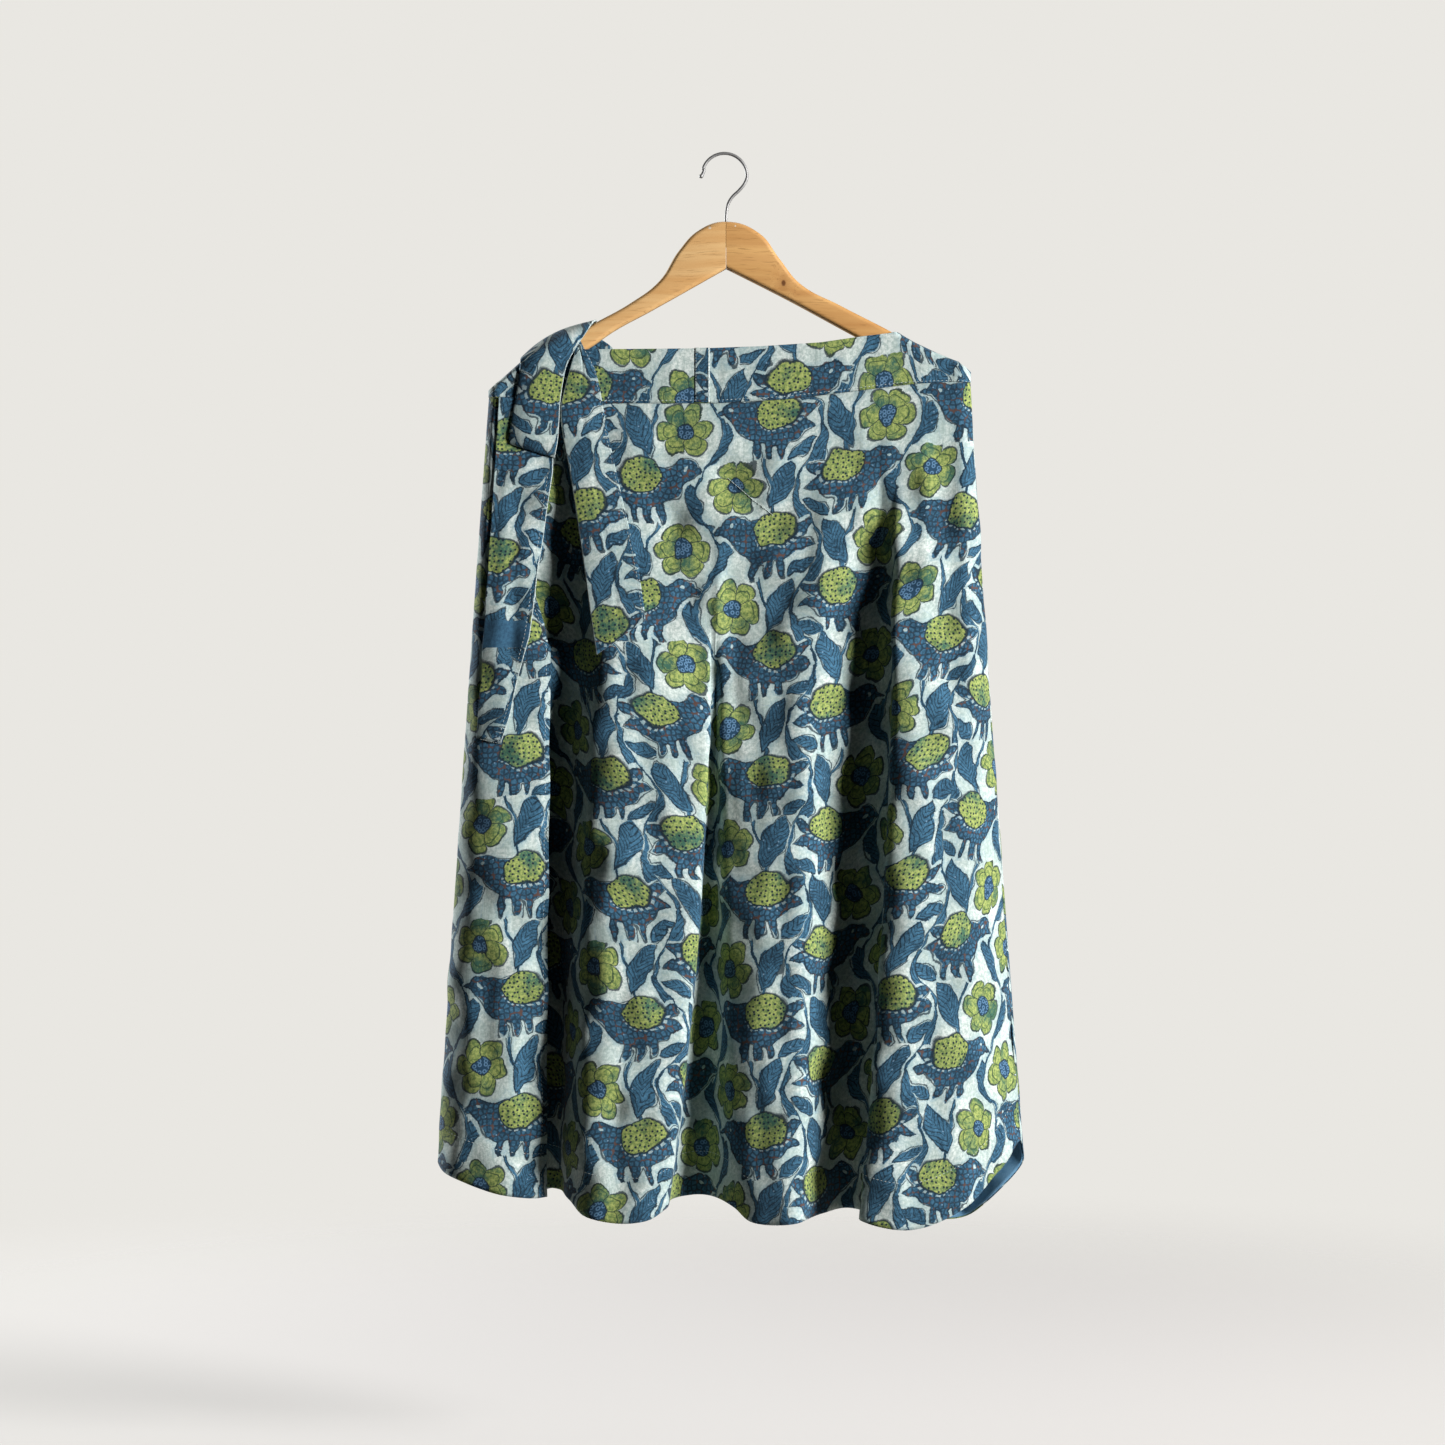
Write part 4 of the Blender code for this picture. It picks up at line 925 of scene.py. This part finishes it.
for name, first, last, anchor_place, cut_at, creases, side, flat, area in (
    ("front_panel", 0.0, RIGHT_SIDE, 12.0, (20, 0), FRONT_CREASES, -1, (0.780, 0.789), 0.445),
    ("back_panel", RIGHT_SIDE, LEFT_SIDE, 32.0, (400, -30), BACK_CREASES, 1, (0.691, 0.791), 0.414),
):
    places = even_places(first, last, PANEL_COLUMNS)
    points = strip_points(places[None, :], np.linspace(0, 1, PANEL_ROWS + 1)[:, None])
    points = parted(pressed(points, creases, side), start=first > 0, end=True)
    anchor = int(np.argmin(np.abs(places - anchor_place)))
    flat_places = cloth_map(points, anchor, cut_at)
    made = cloth_sheet(name + "_cloth", points, flat_places, CLOTH, [body_cloth])
    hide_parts(name)
    hem_row = round((1 - HEM_DEEP) * PANEL_ROWS)
    sewn_row(name + "_hem_stitches", points, hem_row, CLOTH)
    if side == -1:
        line = []
        for x, z in curve_through(LOOSE_THREAD, 6):
            away = np.hypot(points[..., 0] - x, points[..., 2] - z)
            line.append((x, points[..., 1].flat[np.argmin(away)] - 0.5, z))
        line = np.array(line)
        face = np.broadcast_to((0.0, -1.0, 0.0), line.shape)
        thread_along("front_panel_loose_thread", line, face, CLOTH, stitch=5.5, apart=4.0)


# Outer wrap: the last width of the same strip, folded round from the back at the left side. Its
# turned free edge hangs straight, and near the waist it draws back under the pocket front.

# Each place is how far down the edge it is, as a share of the length, and how far across.
WRAP_FREE_EDGE = ((0.00, -180), (0.20, -180), (0.25, -177), (0.28, -170), (0.31, -165.5))
WRAP_ROWS, WRAP_COLUMNS = 200, 62
WRAP_SEWN_ROW, WRAP_SEWN_COLUMN = 50, -5


def place_at(x, down, low, high):
    """The place on the strip, between two others, that stands at x, for each height."""
    low, high = np.full(np.shape(down), float(low)), np.full(np.shape(down), float(high))
    rises = strip_points(high, down)[..., 0] > strip_points(low, down)[..., 0]
    for _ in range(30):
        middle = (low + high) / 2
        short = (strip_points(middle, down)[..., 0] < x) == rises
        low, high = np.where(short, middle, low), np.where(short, high, middle)
    return low


down = np.linspace(0, 1, WRAP_ROWS + 1)
edge = place_at(np.interp(down, *zip(*WRAP_FREE_EDGE)), down, LEFT_SIDE + 1.0, WRAP_EDGE)
edge = np.where(down < WRAP_FREE_EDGE[-1][0], edge, WRAP_EDGE)
share = (even_places(LEFT_SIDE, WRAP_EDGE, WRAP_COLUMNS) - LEFT_SIDE) / (WRAP_EDGE - LEFT_SIDE)
share = np.concatenate((share[:-1], [0.992, 1.0]))
places = LEFT_SIDE + share[None, :] * (edge[:, None] - LEFT_SIDE)
points = parted(pressed(strip_points(places, down[:, None]), WRAP_CREASES, -1), start=True)
flat_places = cloth_map(points, len(share) - 1, (-145, -16))
wrap = cloth_sheet("wrap_panel_cloth", points, flat_places, CLOTH, [body_cloth])
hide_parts("wrap_panel")
sewn_row("wrap_hem_stitches", points, round((1 - HEM_DEEP) * WRAP_ROWS), CLOTH)
sewn_row("wrap_edge_stitches", points, np.s_[WRAP_SEWN_ROW:, WRAP_SEWN_COLUMN], CLOTH)


# Pocket front: a second layer over the wrap, sewn in with the side and waist seams. Its right
# edge, the slanted mouth, is turned under and shows as a pale line. One stretch of it took
# plain indigo instead of the print.
POCKET_MOUTH = (
    (0.00, -160), (0.08, -160), (0.15, -168), (0.21, -175), (0.25, -178),
    (0.30, -183), (0.35, -193), (0.395, -200), (0.4375, -209),
)
POCKET_SIDE = ((0.00, -212), (0.4375, -231))
POCKET_RISE = 1.8
TRIM_CLOTH = 0.9
POCKET_ROWS, POCKET_COLUMNS = 96, 40
POCKET_SEWN_ROW, POCKET_SEWN_COLUMN = 20, -6
INDIGO_STRETCH = (-461.0, -437.0)

# Selvedge of undyed cotton: close pale threads that stand side by side along a turned edge.
white_thread, shader, node = new_material("bleached_cotton_selvedge", Roughness=0.85, Sheen_Weight=0.1)
place = cloth_place(node)
fuzz = node("TexNoise", place, None, 0.5, 3.0, noise_dimensions="2D")
tone = node("MapRange", fuzz, 0.35, 0.65, 0.0, 1.0)
tone = node("MixRGB", tone, "#879B99", "#C3CEC8")
strand = node("Math MULTIPLY", node("SeparateXYZ", place).outputs[1], 2 * math.pi / THREADS_APART)
strand = node("Math MULTIPLY_ADD", node("Math SINE", strand), 0.2, fuzz)
set_inputs(shader, Base_Color=tone, Normal=node("Bump", 0.5, 0.0006, None, strand))

down = np.linspace(0, POCKET_MOUTH[-1][0], POCKET_ROWS + 1)
side = place_at(np.interp(down, *zip(*POCKET_SIDE)), down, LEFT_SIDE + 0.2, WRAP_EDGE)
mouth = place_at(np.interp(down, *zip(*POCKET_MOUTH)), down, LEFT_SIDE + 1.0, WRAP_EDGE)
share = np.concatenate((np.linspace(0, 0.965, POCKET_COLUMNS), [0.98, 1.0]))
places = side[:, None] + share[None, :] * (mouth - side)[:, None]
points = pressed(strip_points(places, down[:, None]), WRAP_CREASES, -1)
points = points + outward(points) * POCKET_RISE
pocket_cloth = printed_cotton("block_printed_cotton_pocket", dyed_patch=INDIGO_STRETCH)
flat_places = cloth_map(points, len(share) - 1, (-318, 26))
pocket = cloth_sheet(
    "pocket_front_cloth", points, flat_places, TRIM_CLOTH,
    [pocket_cloth, white_thread], edge_columns=(len(share) - 2,),
)
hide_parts("pocket_front")
sewn = np.s_[POCKET_SEWN_ROW:, POCKET_SEWN_COLUMN]
sewn_row("pocket_mouth_stitches", points, sewn, TRIM_CLOTH)
for row, start in ((-1, 8), (-2, -12), (-4, -12)):
    sewn_row("pocket_tack%d" % row, points, np.s_[row, start:], TRIM_CLOTH, stitch=2.2, apart=2.4)


# Waistband: a doubled straight strip of the same print, topstitched along the seam where the
# skirt is eased into it. It lies over both arms of the hanger, stands free between them, and
# sags a little at the back.
BAND_TOP = (
    (-222, -221.7), (-205, -206.7), (-190, -193.2), (-174, -184.3), (-170, -182.0),
    (-166, -181.2), (-158, -182.6), (-118, -182.4), (-24, -181.6), (32, -179.6),
    (88, -176.0), (128, -170.2), (152, -167.4), (157, -166.2), (161, -167.4),
    (165, -169.8), (176, -176.2), (197, -186.2), (216, -193.8), (222, -198.2), (228, -203.4),
)
LEFT_CROSSING, RIGHT_CROSSING = -166.0, 157.0
LEFT_ARM_END, RIGHT_ARM_END = -209.0, 213.0
CROSSING_WIDTH = 8.0
BACK_SAG, BACK_SAG_RUN = 6.0, 40.0
ARM_ROUND = 4.5
SIDE_STRETCH_END = -173.0
BAND_CREASES = tuple(Crease(*row) for row in (
    (-140, -184, -146, -232, 5, 0.5, 2), (-96, -184, -101, -232, 7, -0.5, -2),
    (-52, -184, -58, -232, 6, 0.5, 2), (-6, -182, -10, -232, 5, -0.5, 1),
    (36, -182, 30, -230, 7, 0.5, -2), (79, -178, 77, -226, 3, -0.8, 1),
    (112, -174, 104, -222, 6, 0.6, 2), (140, -170, 136, -218, 5, -0.6, -2),
    (186, -184, 180, -214, 6, 0.6, 2), (207, -192, 204, -212, 5, -0.5, 1),
))


def eased(share):
    """A share from 0 to 1 that starts and ends gently."""
    share = np.clip(share, 0, 1)
    return share * share * (3 - 2 * share)


def band_points(places, side, on_left_arm):
    """The band from its top edge, or its fold over the arm, down to the waist seam."""
    foot = strip_points(places, 0.0)
    x, y = foot[:, 0], foot[:, 1]
    over = eased((x - RIGHT_CROSSING) / CROSSING_WIDTH)
    over = over * (1 - eased((x - RIGHT_ARM_END) / CROSSING_WIDTH))
    if on_left_arm:
        left = eased((LEFT_CROSSING - x) / CROSSING_WIDTH)
        over = np.maximum(over, left * (1 - eased((LEFT_ARM_END - x) / CROSSING_WIDTH)))
    top = np.interp(x, *zip(*BAND_TOP))
    if side > 0:
        top = top - BACK_SAG * eased(np.minimum(RIGHT_CROSSING - x, x - LEFT_CROSSING) / BACK_SAG_RUN)
    low = foot[:, 2] + SEAM_GAP
    drop = np.minimum(ARM_ROUND, (top - low) / 2)
    rows = []
    for turn in np.linspace(0, math.pi / 2, 7):
        arm_y = side * np.maximum(np.abs(y) * math.sin(turn), SEAM_GAP / 2)
        fall = turn / (math.pi / 2) * (1 - over) + (1 - math.cos(turn)) * over
        rows.append(np.stack((x, y + (arm_y - y) * over, top - drop * fall), axis=-1))
    for share in np.linspace(0, 1, 19)[1:]:
        rows.append(np.stack((x, y, top - drop + (low - top + drop) * share), axis=-1))
    return np.array(rows)


front_places = even_places(0.0, RIGHT_SIDE, 170)
back_places = even_places(RIGHT_SIDE, LEFT_SIDE, 170)
side_places = np.linspace(LEFT_SIDE, place_at(SIDE_STRETCH_END, 0.0, LEFT_SIDE + 1.0, WRAP_EDGE), 24)
for name, places, side, ends, cut_at, flat, area in (
    ("waistband_front", front_places, -1, (False, True), (36, -148), (0.405, 0.05), 0.0197),
    ("waistband_back", back_places, 1, (True, True), (610, -170), (0.455, 0.046), 0.0200),
    ("waistband_side", side_places, -1, (True, False), (-150, -90), (0.06, 0.036), 0.0019),
):
    points = band_points(places, side, places[-1] >= LEFT_SIDE)
    points = parted(pressed(points, BAND_CREASES, side), *ends)
    flat_places = cloth_map(points, 0, cut_at)
    made = cloth_sheet(name + "_cloth", points, flat_places, BAND_CLOTH, [body_cloth])
    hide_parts(name)
    sewn_row(name + "_stitches", points, -2, BAND_CLOTH)


# Band end: the loose end of the band, pulled up over the left arm from behind and down the front,
# where it is tucked. Its turned free edge shows as a pale line.
OVER_ARM_REACH = 11.0
TIE_CLOTH = 1.5
END_STEPS = 6

# Each row is one line across the strip: the places of its left and right ends, how far in
# front (-) or behind (+) it lies, and how much its middle puffs out.
CrossRow = namedtuple("CrossRow", "name x_left z_left x_right z_right y puff")
BAND_END = tuple(CrossRow(*row) for row in (
    ("behind_low", -186, -226, -148, -210, 10.6, 0.0),
    ("behind_middle", -188, -210, -138, -186, 11.0, 1.0),
    ("behind_top", -189, -198, -128, -164, 10.4, 3.0),
    ("over_back", -190, -191, -123, -156.6, 6.8, 7.5),
    ("over_top", -191, -190.6, -121, -154.8, 0.0, 8.0),
    ("over_front", -191, -190.8, -124, -157.0, -7.4, 7.0),
    ("front_top", -191.5, -194.6, -130, -167, -12.6, 5.0),
    ("front_high", -192.5, -204, -139, -180, -13.2, 4.0),
    ("front_upper", -194, -216, -148, -197, -13.6, 3.0),
    ("front_middle", -196, -229, -152, -215, -13.9, 2.5),
    ("front_lower", -198.5, -242, -154.5, -233, -14.3, 2.5),
    ("front_low", -200.5, -254, -155.5, -252, -15.4, 2.5),
    ("roll", -202, -262, -156.5, -268, -17.0, 2.0),
    ("roll_under", -202, -268, -158.5, -279, -16.0, 1.0),
    ("tuck", -201, -271, -159.5, -284, -13.9, 0.0),
))

# How far the left edge of the part in front is pressed back to the band, at each height.
PRESSED_EDGE = (
    (-272, 1.0), (-268, 2.9), (-262, 4.0), (-254, 2.5), (-243, 1.0), (-236, 0.6), (-201, 1.0),
    (-196, 2.6), (-193, 0.0),
)
PRESSED_SHARE = 0.5


def crossed(rows, share, over_reach=None):
    """Points of a strip given by rows, raised in their middle; over the arm they rise upwards."""
    table = np.array([row[1:] for row in rows], float)[:, :, None]
    x = table[:, 0] + (table[:, 2] - table[:, 0]) * share
    z = table[:, 1] + (table[:, 3] - table[:, 1]) * share
    y = table[:, 4] + 0 * share
    lift = table[:, 5] * np.sin(np.pi * share ** 0.8)
    if over_reach is None:
        return np.stack((x, y - lift, z), axis=-1)
    over = np.clip(1 - np.abs(y) / over_reach, 0, 1)
    return np.stack((x, y + np.copysign(lift * (1 - over), y), z + lift * over), axis=-1)


share = np.concatenate((np.linspace(0, 0.965, 34), [0.986, 1.0]))
points = curve_through(crossed(BAND_END, share, OVER_ARM_REACH), END_STEPS)
front_top = [row.name for row in BAND_END].index("front_top")
in_front = points[front_top * END_STEPS:]
pressed_back = np.interp(in_front[:, 0, 2], *zip(*PRESSED_EDGE))
in_front[:, :, 1] += pressed_back[:, None] * np.clip(1 - share / PRESSED_SHARE, 0, 1) ** 2
band_end = cloth_sheet(
    "waistband_end_cloth", points, strip_map(points, (70, 60)), TIE_CLOTH,
    [body_cloth, white_thread], edge_columns=(len(share) - 2,),
)
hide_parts("waistband_end")


# Tie: a folded and pressed strip of the print. It comes up inside the waist, loops over the left
# arm, is knotted in front and hangs down with a slanted end.
TIE = tuple(CrossRow(*row) for row in (
    ("inside_waist", -122, -204, -100, -207, 5.0, 0.0),
    ("waist_top", -124, -193, -102, -195, 5.2, 0.0),
    ("below_arm", -126, -188, -104, -187.5, 5.8, 0.0),
    ("behind_arm", -131.5, -181, -108, -178, 7.7, 0.0),
    ("behind_top", -148, -173, -130, -164, 7.7, 0.0),
    ("over_back", -152, -172.4, -135, -163.0, 4.2, 0.0),
    ("over_arm", -154, -172.4, -138, -163.2, 0.0, 0.0),
    ("over_front", -153.5, -172.8, -138.5, -164.4, -4.2, 0.0),
    ("front_top", -152, -176, -139, -169, -7.8, 0.0),
    ("in_front", -147, -180, -135, -176, -8.9, 0.0),
    ("knot", -141, -184, -132, -182.6, -10.6, 0.5),
    ("tail_top", -144, -196, -123, -199, -10.7, 1.0),
    ("tail_high", -150, -218, -118, -218, -10.7, 1.2),
    ("tail_upper", -154, -238, -114, -240, -12.2, 1.6),
    ("tail_bend", -152, -262, -109, -266, -14.0, 2.0),
    ("tail_middle", -145, -300, -101, -303, -17.0, 2.4),
    ("tail_lower", -138, -345, -91, -346, -20.5, 2.4),
    ("tail_low", -131, -392, -82, -386, -25.5, 2.2),
    ("tail_end", -125, -436, -76, -424, -31.0, 1.8),
    ("tail_tip", -120, -468, -75, -436, -34.0, 1.4),
))
TIE_CREASE_COLUMN, TIE_SEWN_COLUMN = 12, 22
TIE_CREASE_DEEP = 0.7

share = np.concatenate(([0.0, 0.022], np.linspace(0.05, 0.95, 21), [0.978, 1.0]))
points = curve_through(crossed(TIE, share), 7)
points[:, TIE_CREASE_COLUMN, 1] += TIE_CREASE_DEEP
tie = cloth_sheet(
    "tie_cloth", points, strip_map(points, (30, 110)), TIE_CLOTH,
    [body_cloth, white_thread], edge_columns=(0,),
)
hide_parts("tie")
sewn_row("tie_stitches", points, np.s_[:, TIE_SEWN_COLUMN], TIE_CLOTH)


# Slot: a short doubled strip of the print, sewn down the band along both sides, with the
# opening for the tie behind it.
SLOT_LEFT, SLOT_RIGHT = -29.5, -15.0
SLOT_TOP, SLOT_FOOT = -181.0, -232.0
SLOT_CLOTH = 0.7
SLOT_FACE = BAND_FACE + BAND_CLOTH / 2 + SLOT_CLOTH / 2 + 0.15
SLOT_EDGE_SUNK, SLOT_EDGE_WIDE = 0.7, 1.3

x, z = np.meshgrid(np.linspace(SLOT_LEFT, SLOT_RIGHT, 11), np.linspace(SLOT_TOP, SLOT_FOOT, 30))
y = SLOT_EDGE_SUNK * np.exp((SLOT_LEFT - x) / SLOT_EDGE_WIDE) - SLOT_FACE
points = np.stack((x, y, z), axis=-1)
slot = cloth_sheet(
    "band_slot_cloth", points, cloth_map(points, 0, (233, 190)), SLOT_CLOTH,
    [body_cloth, white_thread], edge_columns=(9,),
)
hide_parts("band_slot")
for side, column in (("left", 1), ("right", 9)):
    sewn_row("slot_stitches_" + side, points, np.s_[:, column], SLOT_CLOTH, stitch=2.0, apart=2.8)


# Hem facing: a plain-weave cotton strip, dyed plain blue, sewn to the inside of the hem along
# its lower edge and turned up.
FACING_TOP, FACING_FOOT = 0.922, 1.0035
FACING_DEPTH = 1.4

plain_cotton, shader, node = new_material("plain_dyed_cotton_blue", Roughness=0.88, Sheen_Weight=0.12)
place = cloth_place(node)
cloudy = node("TexNoise", place, None, 0.09, 3.0, noise_dimensions="2D")
speckled = node("TexNoise", place, None, 0.8, 2.0, noise_dimensions="2D")
tones = node("Math MULTIPLY_ADD", speckled, 0.4, node("Math MULTIPLY", cloudy, 0.6))
tones = node("MapRange", tones, 0.35, 0.65, 0.0, 1.0)
dye = node("MixRGB", tones, "#4C80A2", "#6E9FBD")
set_inputs(shader, Base_Color=dye)
for name, first, last, creases, side, flat, area in (
    ("hem_facing_front", 0.0, RIGHT_SIDE, FRONT_CREASES, -1, (0.762, 0.044), 0.0308),
    ("hem_facing_back", RIGHT_SIDE, LEFT_SIDE, BACK_CREASES, 1, (0.673, 0.044), 0.0264),
):
    places = even_places(first, last, PANEL_COLUMNS)[2:-2]
    points = strip_points(places[None, :], np.linspace(FACING_TOP, FACING_FOOT, 17)[:, None])
    points = pressed(points, creases, side)
    points = (points - outward(points) * FACING_DEPTH)[4:-1]
    flat_places = cloth_map(points, 0, (0, 0))
    made = cloth_sheet(name + "_cloth", points, flat_places, TRIM_CLOTH, [plain_cotton])
    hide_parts(name)
